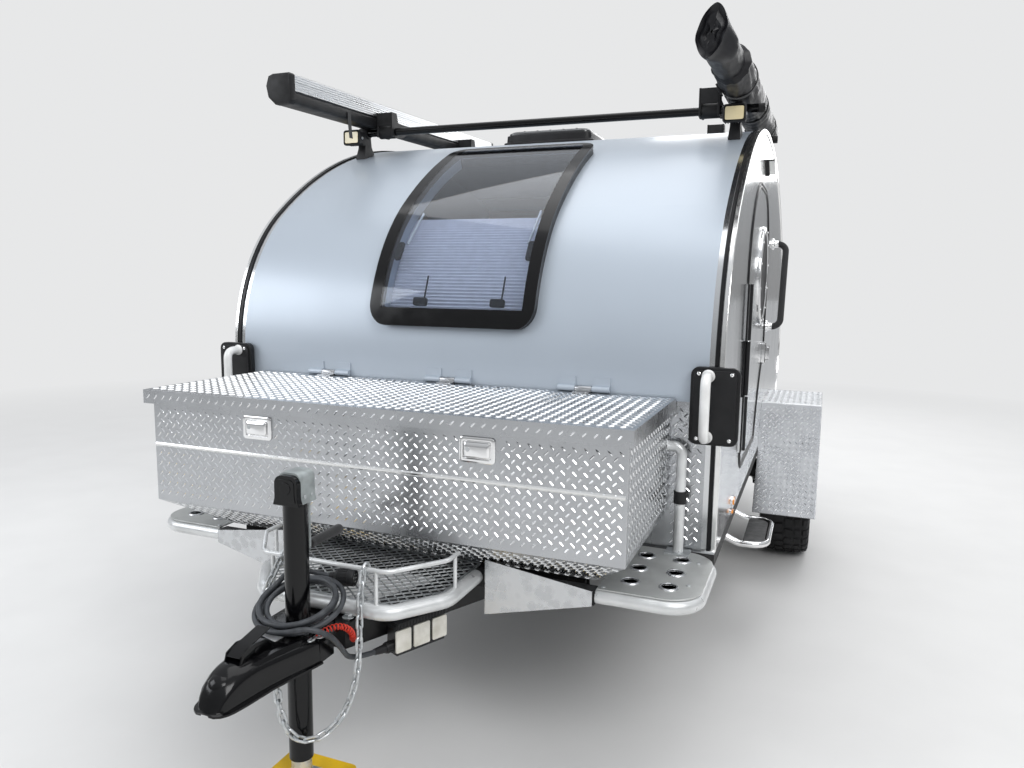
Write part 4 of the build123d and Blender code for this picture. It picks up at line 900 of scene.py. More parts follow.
# piece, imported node, route, length
CHAINS = (("chain", "safety_chain", CHAIN_ROUTE, 0.67),
          ("short_chain", "short_chain", SHORT_CHAIN_ROUTE, 0.35))
LINK_PITCH = 0.027
LINK_WIRE = 0.0034
LINK_OUTER = 0.0208
HOOK_R = 0.0135
CURLY_D = 0.016
CURLY_LEN = 0.19
CURLY_ROUTE = [(0.078, -1.862, 0.577), (0.086, -1.836, 0.58), (0.098, -1.81, 0.581), (0.11, -1.788, 0.57),
               (0.111, -1.766, 0.548), (0.1, -1.748, 0.523), (0.088, -1.722, 0.508), (0.078, -1.706, 0.504)]
# the breakaway clip's bent wire, from the cable's end
CLIP_ROUTE = ((-0.001, 0.002), (0.003, -0.01), (0.001, -0.024), (-0.006, -0.022), (-0.006, -0.008))
CLIP_Z = 0.5725


def coil_points():
    """The coil's control points, from its lay table."""
    place = moved(COIL_AT) @ Matrix.Rotation(COIL_TILT, 4, "X")
    found = []
    count = round(abs(COIL_SPAN) * COIL_POINTS)
    for k in range(1, count):
        turned = abs(COIL_SPAN) * k / count
        i = max(j for j, row in enumerate(COIL_LAY[:-1]) if row[0] <= turned)
        (t0, r0, h0), (t1, r1, h1) = COIL_LAY[i], COIL_LAY[i + 1]
        t = (turned - t0) / (t1 - t0)
        r, h = r0 + (r1 - r0) * t, h0 + (h1 - h0) * t
        a = COIL_START + copysign(2 * pi * turned, COIL_SPAN)
        found.append(place @ Vector((r * cos(a), r * sin(a), h)))
    return found


def add_cable():
    points = [*LEAD_ROUTE, *coil_points(), *TAIL_ROUTE]
    curve = nurbs("trailer_cable", points, 8)
    curve.bevel_depth = CABLE_D / 2
    curve.bevel_resolution = 5
    curve.materials.append(MAT["cable"])
    cable = put("trailer_cable", curve)
    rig.ride(cable, CHASSIS)
    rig.slot(cable, "cable_rubber")
    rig.replaces(cable, "cable_lead", "cable_coil", "cable_tail")
    start = [p for p, _ in spaced(smooth_path(points), 0.004)][:9]
    relief = Builder()
    relief.tube(start, 0, 20, radii=[0.0108 - 0.0004 * k + 0.0007 * (k % 2) for k in range(len(start))])
    boot = relief.build("cable_boot", "plastic", slot="cable_rubber")
    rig.cord(cable, exit=GLAND_EXIT, length=CABLE_LEN, diameter=CABLE_D, far_end="plug", stiffness="medium",
            lay="coiled", with_pieces=[boot, add_plug()])


def add_plug():
    """A round trailer plug, ribbed for the hand."""
    start, end = Vector(TAIL_ROUTE[-1]), Vector(PLUG_END)
    length = (end - start).length
    z = (end - start).normalized()
    x = z.orthogonal().normalized()
    place = axes_place(start, x, z.cross(x))
    build = Builder()
    build.lathe([(0.006, 0), (0.0095, 0.0005), (0.011, 0.014), (0.015, 0.017), (0.0175, 0.021),
                 (0.0205, 0.024), (0.0205, 0.052), (0.0218, 0.053), (0.0218, length - 0.003),
                 (0.0205, length - 0.001), (0.0185, length), (0.018, length - 0.006),
                 (0.001, length - 0.006)],
                place, 36)
    for turn in spun(place, 16):
        build.box((0.0195, -0.0014, 0.026), (0.0214, 0.0014, 0.05), 0, turn)
    pins = Builder()
    for turn, out, r in [(turn, 0.0105, 0.002) for turn in spun(place, 6)] + [(place, 0, 0.0024)]:
        pins.rod(turn @ Vector((out, 0, length - 0.01)), turn @ Vector((out, 0, length - 0.0015)), r)
    pins.build("plug_pins", "bright", slot="zinc")
    return build.build("trailer_plug", "plastic", 0.0005, slot="cable_rubber", replaces="cable_plug")


def chain_links(build, points):
    """Oval links along a path, each turned a quarter from the last."""
    half_w = LINK_OUTER / 2 - LINK_WIRE
    straight = LINK_PITCH / 2 + LINK_WIRE * 0.9 - half_w
    stops = [p for p, _ in spaced(points, LINK_PITCH)]
    normal = Vector((0.35, 0.85, 0.2))
    for k, (p, after) in enumerate(zip(stops, stops[1:])):
        along = (after - p).normalized()
        normal = (normal - along * normal.dot(along)).normalized()
        side = along.cross(normal) if k % 2 else normal
        loop = [(p + after) / 2 + along * (half_w * cos(a) + (straight if cos(a) > 0 else -straight))
                + side * half_w * sin(a) for a in turns(16)]
        build.tube(loop, LINK_WIRE, 8, closed=True)


def add_chains():
    """The two safety chains, each with the ring that it hangs from."""
    for name, node, route, length in CHAINS:
        line = smooth_path(route)
        links = Builder()
        chain_links(links, line)
        hook = Builder()
        hook.tube([Vector(route[0]) + Vector((0, HOOK_R * cos(a) + 0.0125, HOOK_R * sin(a) + 0.002))
                   for a in turns(20)], 0.0042, 10, closed=True)
        hook.build(f"{name}_hook", "zinc", slot="zinc")
        chain = links.build(f"{name}_links", "zinc", slot="zinc", replaces=node)
        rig.cord(chain, exit=route[0], length=length, diameter=CHAIN_D, far_end="object",
                stiffness="limp", lay="hanging", path=line)


def add_curly_cable():
    """The red breakaway cable: a helix along its route, and its clip."""
    line = smooth_path(CURLY_ROUTE)
    wire, turn_len, per_turn = 0.0016, 0.0095, 14
    radius = CURLY_D / 2 - wire
    stops = spaced(line, turn_len / per_turn)
    helix, normal = [], stops[0][1].orthogonal().normalized()
    for k, (p, tangent) in enumerate(stops):
        if k:
            normal = (normal - tangent * normal.dot(tangent)).normalized()
        a = 2 * pi * k / per_turn
        ends = min(1.0, k / per_turn, (len(stops) - 1 - k) / per_turn)
        helix.append(p + (normal * cos(a) + tangent.cross(normal) * sin(a)) * radius * ends)
    build = Builder()
    build.tube(helix, wire, 7)
    cable = build.build("curly_cable", "red_cord", slot="red_cord", replaces="curly_cord")
    x, y, _ = CURLY_ROUTE[0]
    clip = Builder()
    clip.tube(rounded_path([(x + dx, y + dy, CLIP_Z) for dx, dy in CLIP_ROUTE], 0.004), 0.0021, 10)
    clip_piece = clip.build("curly_clip_hook", "zinc", slot="zinc", replaces="curly_clip")
    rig.cord(cable, exit=CURLY_ROUTE[-1], length=CURLY_LEN, diameter=CURLY_D, far_end="fitting",
            stiffness="limp", lay="loose", path=[p for p, _ in reversed(spaced(line, 0.004))],
            with_pieces=[clip_piece])


# Tread plate panels. Each piece's panels: origin, u axis, v axis, outline, holes.

EDGE = 0.004                        # bare edge of a panel
UP = (0, 0, 1)
LEFT = (1, 0, 0)
BOX_HALF, BOX_LOW_HALF = 0.71, 0.59
BOX_FRONT, BOX_BACK, BOX_DEEP = -1.545, -1.031, -1.35
BOX_FOOT, BOX_BASE, BOX_TOP = 0.718, 0.6, 1.008
LATCH_X = 0.333
HINGE_X = (-0.45, 0, 0.45)
FENDER_X = (0.853, 1.122)
FENDER_FOOT, FENDER_TOP = 0.525, 0.25          # half lengths
FENDER_LOW, FENDER_HIGH = 0.32, 0.8


def box_panels():
    fall = Vector((0, BOX_DEEP - BOX_FRONT, BOX_BASE - BOX_FOOT))
    latches = [rect(x - 0.052, x + 0.052, 0.928, 1.002) for x in (-LATCH_X, LATCH_X)]
    yield ((0, BOX_FRONT, 0), LEFT, UP,
           rect(EDGE - BOX_HALF, BOX_HALF - EDGE, BOX_FOOT + EDGE, BOX_TOP), latches)
    yield ((0, BOX_FRONT, BOX_FOOT), (-1, 0, 0), fall,
           [(EDGE - BOX_HALF, EDGE), (BOX_HALF - EDGE, EDGE), (BOX_LOW_HALF, fall.length - EDGE),
            (-BOX_LOW_HALF, fall.length - EDGE)])
    for _, side in SIDES:
        yield ((side * BOX_HALF, 0, 0), (0, side, 0), UP,
               rect(*sorted((side * (BOX_FRONT + EDGE), side * (BOX_BACK - EDGE))), BOX_FOOT + EDGE, BOX_TOP))
        fall = Vector((side * (BOX_LOW_HALF - BOX_HALF), 0, BOX_BASE - BOX_FOOT))
        foot = fall.length - EDGE
        yield ((side * BOX_HALF, 0, BOX_FOOT), (0, -side, 0), fall,
               [(-side * (BOX_FRONT + EDGE), EDGE), (-side * BOX_BACK, EDGE), (-side * BOX_BACK, foot),
                (-side * (BOX_DEEP + EDGE), foot)])


def fender_panels():
    run, rise = FENDER_FOOT - FENDER_TOP, FENDER_HIGH - FENDER_LOW
    end, half = hypot(run, rise) - EDGE, FENDER_TOP - EDGE
    for _, side in SIDES:
        a, b = sorted(side * x for x in FENDER_X)
        yield (0, 0, FENDER_HIGH), LEFT, (0, 1, 0), rect(a, b, AXLE.y - half, AXLE.y + half)
        yield (0, AXLE.y - FENDER_FOOT, FENDER_LOW), LEFT, (0, run, rise), rect(a, b, EDGE, end)
        yield (0, AXLE.y + FENDER_FOOT, FENDER_LOW), (-1, 0, 0), (0, -run, rise), rect(-b, -a, EDGE, end)


def add_tread_panels():
    hinges = [rect(x - 0.086, x + 0.086, -1.08, -1.03) for x in HINGE_X]
    pieces = {
        "kick_panel_lugs": [((0, FRONT_Y, 0), LEFT, UP,
                             rect(*sorted((side * 0.712, side * 0.808)), 0.604, 1.036))
                            for _, side in SIDES],
        "cargo_box_lugs": box_panels(),
        "cargo_lid_lugs": [((0, 0, 1.05), LEFT, (0, 1, 0), rect(-0.716, 0.716, -1.558, -1.038), hinges),
                           ((0, -1.567, 0), LEFT, UP, rect(-0.716, 0.716, 1.014, 1.046))],
        "fender_lugs": fender_panels(),
    }
    for name, panels in pieces.items():
        build = Builder()
        for panel in panels:
            add_tread(build, *panel)
        build.build(name, "lug", slot="tread_plate", angle=20, body="box_lid" if "lid" in name else CHASSIS)


# Window

WINDOW_LOW = Vector((0, -1.02, 1.222))
WINDOW_HIGH = Vector((0, -0.375, 1.86))
WINDOW_LEN = (WINDOW_HIGH - WINDOW_LOW).length
WINDOW_LINE = shell_line(0.006)
WINDOW_HALF = 0.29
WINDOW_CORNER = 0.062
WINDOW_STAND = 0.0295
PANE_T = 0.008
# The pane's columns, as shares of its half width; the clear ones lie between the second and the third last
PANE_CUTS = (-1.0, -0.985, -0.862, -0.86, -0.5, 0, 0.5, 0.86, 0.862, 0.985, 1.0)
BLIND_RANGE = (1.262, 1.61)        # heights of the blind's two ends
BLIND_HALF = 0.276
PLEAT_PITCH = 0.0125
PLEAT_DEPTH = 0.005
PLEAT_T = 0.0008


def window_place(length, lift):
    """(y, z, outward y, outward z) over a distance along the window's chord."""
    chord = (WINDOW_HIGH - WINDOW_LOW).normalized()
    line = WINDOW_LINE
    at = [(y - WINDOW_LOW.y) * chord.y + (z - WINDOW_LOW.z) * chord.z for y, z, _, _ in line]
    i = max(k for k in range(len(at) - 1) if at[k] <= length and line[k][0] < 0)
    t = (length - at[i]) / (at[i + 1] - at[i])
    y, z, ny, nz = (a + (b - a) * t for a, b in zip(line[i], line[i + 1]))
    return y + ny * lift, z + nz * lift, ny, nz


def add_blind():
    """A pleated blind behind the lower part of the window."""
    start, end = (front_length(z) for z in BLIND_RANGE)
    steps = 2 * int((end - start) / PLEAT_PITCH)
    line = [front_place(start + (end - start) * k / steps, -SKIN - 0.001 - (PLEAT_DEPTH if k % 2 else 0.0005))
            for k in range(steps + 1)]
    back = [(y - ny * PLEAT_T, z - nz * PLEAT_T) for y, z, ny, nz in reversed(line)]
    build = Builder()
    build.rings([[Vector((x, y, z)) for y, z in [p[:2] for p in line] + back] for x in (-BLIND_HALF,
                                                                                        BLIND_HALF)])
    blind = build.build("blind_pleats", "blind", slot="blind_cloth", angle=12, replaces="window_blind")
    drop = sum(dist(a[:2], b[:2]) for a, b in zip(line, line[1:]))
    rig.sheet(blind, flat=(2 * BLIND_HALF, drop), held="folded", rests_on=["front_skin"])
    rail = Builder()
    y, z, ny, nz = front_place(end - 0.004, -SKIN - 0.004)
    rail.prism(rounded(0.008, 0.006, 0.002, 3), 2 * BLIND_HALF,
               axes_place((-BLIND_HALF, y, z), (0, -nz, ny), (0, ny, nz)))
    rail.build("blind_rail", "plastic", slot="black_plastic")


def window_rows(inset, count):
    """(distance along the chord, half width) of a rounded window outline, drawn inward by inset."""
    corner = WINDOW_CORNER - inset
    stops = [inset + corner * (1 - cos(pi / 2 * k / 7)) for k in range(8)]
    stops += [inset + corner + (WINDOW_LEN - 2 * inset - 2 * corner) * k / count for k in range(1, count)]
    stops += [WINDOW_LEN - s for s in stops[7::-1]]
    rows = []
    for s in stops:
        near = max(0, corner - min(s - inset, WINDOW_LEN - inset - s))
        rows.append((s, WINDOW_HALF - inset - corner + sqrt(max(0, corner ** 2 - near ** 2))))
    return rows


def add_window_pane():
    """A domed pane over the whole window, with a black border."""
    build = Builder()
    rows = window_rows(0.001, 44)
    width, count = len(PANE_CUTS), len(rows)
    for lift in (WINDOW_STAND, WINDOW_STAND - PANE_T):
        for s, half in rows:
            y, z, _, _ = window_place(s, lift)
            build.verts += [Vector((half * c, y, z)) for c in PANE_CUTS]
        first = len(build.verts) - count * width
        for j in range(count - 1):
            middle = (rows[j][0] + rows[j + 1][0]) / 2
            for i in range(width - 1):
                a = first + j * width + i
                clear = 2 <= i < width - 3 and 0.044 < middle < WINDOW_LEN - 0.012
                build.faces.append([a, a + 1, a + width + 1, a + width])
                build.slots.append(0 if clear else 1)
    edge = [j * width for j in range(count)] + [(count - 1) * width + i for i in range(1, width)]
    edge += [j * width + width - 1 for j in range(count - 2, -1, -1)] + list(range(width - 2, 0, -1))
    for a, b in zip(edge, edge[1:] + edge[:1]):
        build.faces.append([a, b, b + count * width, a + count * width])
        build.slots.append(1)
    build.build("window_pane", "glass gloss_black", slot="glass", angle=50, replaces="window_glass")


def add_window_details():
    """The pane's black frame, its catches and its stays."""
    back = WINDOW_STAND - PANE_T
    ring = Builder()
    rings = []
    for inset, lift in ((0.003, -0.001), (0.003, back - 0.0005), (0.041, back - 0.0005), (0.041, -0.034)):
        spots = [(*window_place(s, lift)[:2], half) for s, half in window_rows(inset, 24)]
        rings.append([Vector((half, y, z)) for y, z, half in spots]
                     + [Vector((-half, y, z)) for y, z, half in reversed(spots)])
    ring.rings(rings, closed=True)
    ring.build("window_surround", "black_trim", slot="trim_metal", angle=40, replaces="window_frame")
    fittings = Builder()
    back -= 0.001

    def seat(x, s):
        y, z, ny, nz = window_place(s, back)
        return axes_place((x, y, z), (1, 0, 0), (0, nz, -ny))

    def stay(x, low, low_gap, high, high_gap, radius, sides, slot):
        ends = [(x, *window_place(s, back - gap)[:2]) for s, gap in ((low, low_gap), (high, high_gap))]
        fittings.rod(*ends, radius, sides, slot)

    for x in (-0.11, 0.16):
        fittings.prism(rounded(0.048, 0.026, 0.006), -0.012, seat(x, 0.068))
        stay(x + 0.012, 0.07, 0.008, 0.148, 0.01, 0.0028, 12, 0)
    for x in (-0.225, 0.24):
        place = seat(x, 0.23)
        fittings.prism(rounded(0.022, 0.07, 0.008), -0.008, place)
        fittings.button(place @ moved((0, 0.01, -0.016)), 0.0085, 0.0085, 0.014, 0.014, 18)
        stay(x * 0.93, 0.262, 0.012, 0.42, 0.024, 0.0045, 14, 1)
    fittings.build("window_fittings", "plastic rim_tube", 0.0012, slot="black_plastic")


# Edge trim, doors and side fittings

# Places on a side wall, as (y, z)
PORT_AT = (0.205, 1.405)
DOOR_LATCH_AT = (0.479, 1.06)
GRAB_ENDS = ((0.7, 1.17), (0.88, 1.57))
DOOR_Y, DOOR_Z = (-0.395, 0.545), (0.72, 1.745)
DOOR_WHEEL_R, DOOR_ARCH, DOOR_CORNER = 0.816, 0.37, 0.06
HINGE_Z = (0.78, 1.375)
# The seam's strips: x from, x to, lift, material
EDGING = ((0.8262, 0.8395, 0.0045, 0), (0.8395, 0.8535, 0.0056, 1))
LAMP_Y = 0.2
FENDER_LAMP_X = (0.9, 1.05)
# Side markers: y, z, width, height
MARKERS = ((-0.57, 0.64, 0.062, 0.026), (-0.606, 0.6125, 0.04, 0.018))


def add_edge_trim():
    """Edging over the shell's seams: a black strip and a bright one."""
    build = Builder()
    line = [p for p in shell_line(0.03) if p[1] >= 0.601]
    for _, side in SIDES:
        strips = [(((x0, -0.0005), (x0 + 0.002, lift), (x1 - 0.002, lift), (x1, -0.0005)), slot)
                  for x0, x1, lift, slot in EDGING]
        strips.append((((0.8495, 0.004), (0.8538, 0.003), (0.8538, -0.013), (0.8495, -0.014)), 1))
        for outline, slot in strips:
            build.rings([[Vector((side * x, y + ny * h, z + nz * h)) for x, h in outline]
                         for y, z, ny, nz in line], slot)
    build.build("seam_edging", "black_trim bright", slot="trim_metal", replaces="edge_trim")


def door_outline(grow):
    """The door's outline as (y, z) points."""
    (y0, y1), (z0, z1) = ((low - grow, high + grow) for low, high in (DOOR_Y, DOOR_Z))
    wheel, arch, corner = DOOR_WHEEL_R - grow, DOOR_ARCH + grow, DOOR_CORNER + grow

    def arc(cy, cz, r, angles):
        return [(cy + r * cos(a), cz + r * sin(a)) for a in angles]

    start = atan2(z0 - AXLE.z, -sqrt(wheel ** 2 - (z0 - AXLE.z) ** 2))
    end = atan2(sqrt(wheel ** 2 - (y1 - AXLE.y) ** 2), y1 - AXLE.y)
    return (arc(y0 + corner, z0 + corner, corner, [radians(a) for a in range(180, 271, 15)])
            + arc(AXLE.y, AXLE.z, wheel, [start + (end - start) * k / 16 for k in range(17)])
            + arc(y1 - arch, z1 - arch, arch, [radians(a) for a in range(0, 91, 6)])
            + arc(y0 + arch, z1 - arch, arch, [radians(a) for a in range(90, 181, 6)]))


def add_doors():
    """The doors' port rings, seals, latches and hinges, and the ends of the grab handles."""
    for name, side in SIDES:
        body = f"{name}_door"
        x = side * HALF_W
        face = on_side(side, (x, *PORT_AT))
        rim = Builder()
        rim.lathe([(0.1735, -0.004), (0.1735, 0.0085), (0.18, 0.0125), (0.19, 0.014), (0.199, 0.0118),
                   (0.2048, 0.006), (0.2055, 0.0005), (0.2055, -0.001)], face, 72)
        rim.lathe([(0.172, -0.01), (0.174, -0.01), (0.176, 0.008), (0.1745, 0.0095), (0.1725, 0.0085)],
                  face, 72, 1)
        for place in spun(face, 12, 0.5):
            rim.lathe([(0, 0.012), (0.0042, 0.012), (0.004, 0.0152), (0.0022, 0.0162), (0, 0.0162)],
                      place @ moved((0.19, 0, 0)), 14)
        rim.build(f"port_ring_{name}", "chrome black_trim", slot="chrome", body=body)
        for piece, grow, radius, rides in (("seal", 0.001, 0.0042, body),
                                           ("rebate", 0.0155, 0.0036, CHASSIS)):
            strip = Builder()
            strip.tube([(x + side * 0.0005, y, z) for y, z in door_outline(grow)], radius, 8, closed=True)
            strip.build(f"door_{piece}_{name}", "black_trim", slot="black_plastic", body=rides)
        latch = Builder()
        place = on_side(side, (x, *DOOR_LATCH_AT))
        for wide, tall, r, depth, slot in ((0.056, 0.104, 0.012, 0.015, 0), (0.044, 0.09, 0.008, 0.0165, 1),
                                           (0.03, 0.064, 0.007, 0.0335, 0)):
            latch.prism(rounded(wide, tall, r), depth, place, slot)
        latch.lathe([(0, 0), (0.0075, 0), (0.0075, 0.019), (0.0055, 0.02), (0, 0.02)],
                    place @ moved((0, -0.036, 0)), 20)
        latch.build(f"door_latch_{name}", "chrome plastic", 0.0018, slot="chrome", body=body)
        low, high = HINGE_Z
        third = (high - low) / 3
        for k, (a, b, y0, y1) in enumerate((
                (low, low + third, -0.432, -0.4), (low + third + 0.002, high - third - 0.002, -0.396, -0.358),
                (high - third, high, -0.432, -0.4))):
            piece = Builder()
            centre = (x + side * 0.01, -0.398)
            piece.rod((*centre, a + 0.0008), (*centre, b - 0.0008), 0.0096)
            x0, x1 = sorted((x, x + side * 0.0085))
            piece.box((x0, y0, a), (x1, y1, b))
            piece.build(f"hinge_cover_{name}_{k}", "black_trim", 0.0015, slot="black_plastic",
                        body=body if k == 1 else CHASSIS)
    grabs = Builder()
    for _, side in SIDES:
        for y, z in GRAB_ENDS:
            grabs.lathe([(0, 0), (0.028, 0), (0.027, 0.005), (0.019, 0.008), (0.017, 0.012),
                         (0.0168, 0.026), (0, 0.026)], on_side(side, (side * HALF_W, y, z)), 28)
    grabs.build("grab_ends", "chrome", slot="chrome")


def add_lamps():
    """A lamp high on each side, three on each fender, and the side markers."""
    lamps = Builder()
    markers = Builder()
    for _, side in SIDES:
        wall = side * HALF_W
        place = on_side(side, (wall, LAMP_Y, 0))
        lamps.prism([(-0.09, 1.87), (0, 1.815), (0.09, 1.87)], 0.012, place)
        lamps.prism([(-0.074, 1.866), (0, 1.821), (0.074, 1.866)], 0.034, place, 1)
        lamps.prism([(-0.09, 1.87), (-0.084, 1.8655), (0.084, 1.8655), (0.09, 1.87)], 0.033, place)
        low, high = sorted(side * x for x in FENDER_LAMP_X)
        third = (high - low) / 3
        lamps.prism([(1.2985, 0.6205), (1.304, 0.6205), (1.304, 0.6895), (1.259, 0.6895)], high - low,
                    on_side(1, (low, 0, 0)))
        for k, slot in enumerate((2, 3, 1) if side > 0 else (1, 3, 2)):
            a = low + third * k
            lamps.box((a + 0.003, 1.303, 0.624), (a + third - 0.003, 1.326, 0.686), slot)
        for y, z, wide, tall in MARKERS:
            marker = on_side(side, (wall, y, z))
            markers.prism(rounded(wide, tall, 0.008), 0.004, marker)
            markers.prism(rounded(wide - 0.009, tall - 0.008, 0.005), 0.01, marker, 1)
    markers.build("side_markers", "chrome amber", 0.0012, slot="lamp")
    lamps.build("side_lamps", "plastic clear_lens red_lens amber", 0.0015, slot="lamp",
                replaces="body_lights")


# The front handles: their middle as (x, z), and their bows
GRIP_AT = (0.8335, 1.035)
GRIP_BOW_X = 0.815
GRIP_BOW_Z = (0.949, 1.121)


def add_front_grips():
    """The front corners' handles: a plate, a white bow and its screws."""
    build = Builder()
    front = FRONT_Y - 0.0063
    wide, middle = GRIP_AT
    face, far = front - 0.026, front - 0.08
    low, high = GRIP_BOW_Z
    for _, side in SIDES:
        place = upright((side * wide, front, middle))
        build.prism(rounded(0.135, 0.22, 0.022), 0.02, place)
        build.prism(rounded(0.118, 0.203, 0.018), 0.026, place)
        x = side * GRIP_BOW_X
        bow = [(x, face + 0.004, low), (x, far, low), (x, far, high), (x, face + 0.004, high)]
        build.tube(rounded_path(bow, 0.03, 10), 0.0138, 20, 1)
        for z in (low, high):
            build.lathe([(0, 0), (0.019, 0), (0.0175, 0.004), (0.014, 0.009), (0.0138, 0.016), (0, 0.016)],
                        upright((x, face, z)), 28, 1)
        for sx, sz in CORNERS:
            build.button(upright((side * wide + sx * 0.045, face, middle + sz * 0.092)), 0.006, 0.0045, 0.003,
                         0.0036, slot=2)
    build.build("front_bows", "plastic white chrome", 0.002, slot="grip_white", replaces="front_grips")


# Roof rack and awnings

BAR_FRONT = Vector((0, -0.29, 1.99))
BAR_REAR = Vector((0, 0.5, 2.012))
RACK_TILT = atan2(BAR_REAR.z - BAR_FRONT.z, BAR_REAR.y - BAR_FRONT.y)
RACK = moved(BAR_FRONT) @ Matrix.Rotation(RACK_TILT, 4, "X") @ moved((0, 0, 0.0153))
BAG_X = 0.782
BAG_R = 0.066
BAG_ENDS = (-0.635, 1.19)      # along the rack, from the front bar
BAG_RINGS = 190
BAG_SIDES = 56
SLEEVE = (-0.33, 0.06)        # a gathered sleeve over the front clamp
BARE_SLIM = 0.0125              # ahead of the sleeve the bag is slimmer by this
BARE_SHIFT = 0.007              # and nearer to the middle by this
BAG_FOLD_LEN = 0.1
# The folded end's inner rings: scale, depth
FOLDS = ((0.06, 0.006), (0.34, 0.013), (0.52, 0.005), (0.78, 0.012), (0.96, 0.002))
STRAPS = (-0.105, 0.42, 0.93)
# The flap's outline: angle, lift
FLAP = ((205, 0.0005), (196, 0.0034), (150, 0.0036), (118, 0.0034), (112, 0.0005))
BUCKLE_ANGLE = radians(208)
CASSETTE_Y = (-0.605, 1.23)
CASSETTE_X = (-0.8, -0.694)
CASSETTE_H = 0.106
CASSETTE_CAP = 0.034
GROOVES = (0.046, 0.103, 7)     # the silver face's foot and top, and its ribs
CLAMP = ((-0.03, -0.022), (0.06, -0.02), (0.11, 0.008), (0.11, 0.03), (0.07, 0.036), (0.022, 0.04),
         (0.012, 0.076), (-0.03, 0.076))
PULL_Y = -0.235                 # the pull strap's place along the rack, and its two ends' heights
PULL_Z = (0.03, -0.07)
FOOT_X = 0.77
BAR_END_X = 0.866
CASSETTE_CLAMP_X = -0.6557
# Each bar's middle, and where the bag's clamp sits on it
BARS = ((BAR_FRONT, 0.678), (BAR_REAR, 0.598))
POD_AT = (0.774, -0.388, 1.959)
# A bar's foot: share of its height, half width, half length
RACK_FOOT = ((0, 0.0215, 0.038), (0.08, 0.0215, 0.038), (0.42, 0.018, 0.025), (0.88, 0.0175, 0.0195),
             (1.0, 0.0175, 0.017))
VENT = (-0.055, 0.22)


def bag_centre(y):
    """The bag's middle at a distance from the front bar."""
    return RACK @ Vector((BAG_X, y, BAG_R))


def bag_ring(y):
    """One ring of the bag's cloth: creased, gathered at its sleeve, and folded flat at its front end."""
    near = min(abs(y - s) for s in STRAPS)
    cinch = 0.0035 * exp(-(near / 0.018) ** 2)
    fold = max(0, 1.0 - (y - BAG_ENDS[0]) / BAG_FOLD_LEN)
    fold = fold * fold * (3 - 2 * fold)
    rear = max(0, 1.0 - (BAG_ENDS[1] - y) / 0.05)
    sleeve = min(1.0, max(0, (y - SLEEVE[0]) / 0.006)) * min(1.0, max(0, (SLEEVE[1] - y) / 0.03))
    bare = y < SLEEVE[0]
    ring = []
    for a in turns(BAG_SIDES):
        dx, dz = cos(a), sin(a)
        sample = Vector((dx * 1.6, y * 5.0, dz * 1.6))
        crease = noise.noise(sample) * 0.0034 + noise.noise(sample * 2.7 + Vector((4, 1, 7))) * 0.0022
        ripple = 0.0022 * sin(y * 95 + 3.0 * dz + 4 * noise.noise(sample * 0.6)) * (0.35 + 0.65 * max(0, -dz))
        gather = sleeve * (0.0028 * sin(11 * a + 14 * y + 3 * noise.noise(sample)) - 0.0012)
        r = BAG_R - 0.003 - cinch + crease + gather - BARE_SLIM * bare
        r += ripple * exp(-(near / 0.11) ** 2) * 1.4 * (1 - sleeve)
        r *= 1.0 - 0.1 * rear * rear
        x, z = r * dx - BARE_SHIFT * bare, r * dz
        flat_x = 0.041 * copysign(abs(dx) ** 1.25, dx) + 0.012 * dz - 0.02
        flat_x += 0.0035 * noise.noise(Vector((z * 40, y * 16, 1)))
        flat_z = 0.074 * copysign(abs(dz) ** 1.1, dz) + 0.0215
        ring.append(bag_centre(y) + Vector((x * (1 - fold) + flat_x * fold, 0,
                                            z * (1 - fold) + flat_z * fold)))
    return ring


def add_awning_bag():
    """The rolled awning's cloth, its flap, straps and buckles."""
    build = Builder()
    start, end = BAG_ENDS
    rings = [bag_ring(start + (end - start) * k / BAG_RINGS) for k in range(BAG_RINGS + 1)]
    middle = sum(rings[0], Vector()) / BAG_SIDES
    inner = [[middle + (p - middle) * scale + Vector((0.003 * sin(0.55 * k), back, 0))
              for k, p in enumerate(rings[0])] for scale, back in FOLDS]
    build.rings(inner + rings)
    build.build("bag_cover", "vinyl", slot="vinyl", angle=60, replaces="awning_bag")
    straps = Builder()
    rows = []
    for k in range(BAG_RINGS + 1):
        y = 0.07 + (end - 0.1) * k / BAG_RINGS
        row = [(BAG_R + lift + 0.0012 * noise.noise(Vector((a * 0.05, y * 9, 2))), a) for a, lift in FLAP]
        row += [(BAG_R - 0.003, a) for a in (112, 150, 205)]
        rows.append([bag_centre(y) + polar(r, radians(a)) for r, a in row])
    straps.rings(rows)
    for y in STRAPS:
        straps.rings([[bag_centre(y + dy) + polar(BAG_R - 0.0015 + lift, a) for a in turns(48)]
                      for dy, lift in ((-0.0125, -0.002), (-0.0125, 0.0022), (0.0125, 0.0022),
                                       (0.0125, -0.002))],
                     1, closed=True)
        across = (-sin(BUCKLE_ANGLE), 0, cos(BUCKLE_ANGLE))
        place = axes_place(bag_centre(y) + polar(BAG_R, BUCKLE_ANGLE), (0, 1, 0), across)
        straps.prism(rounded(0.034, 0.044, 0.006, 3), 0.0065, place, 2)
        straps.prism(rounded(0.026, 0.012, 0.003, 3), 0.0085, place, 2)
    straps.build("bag_straps", "vinyl foam plastic", 0.001, slot="vinyl")


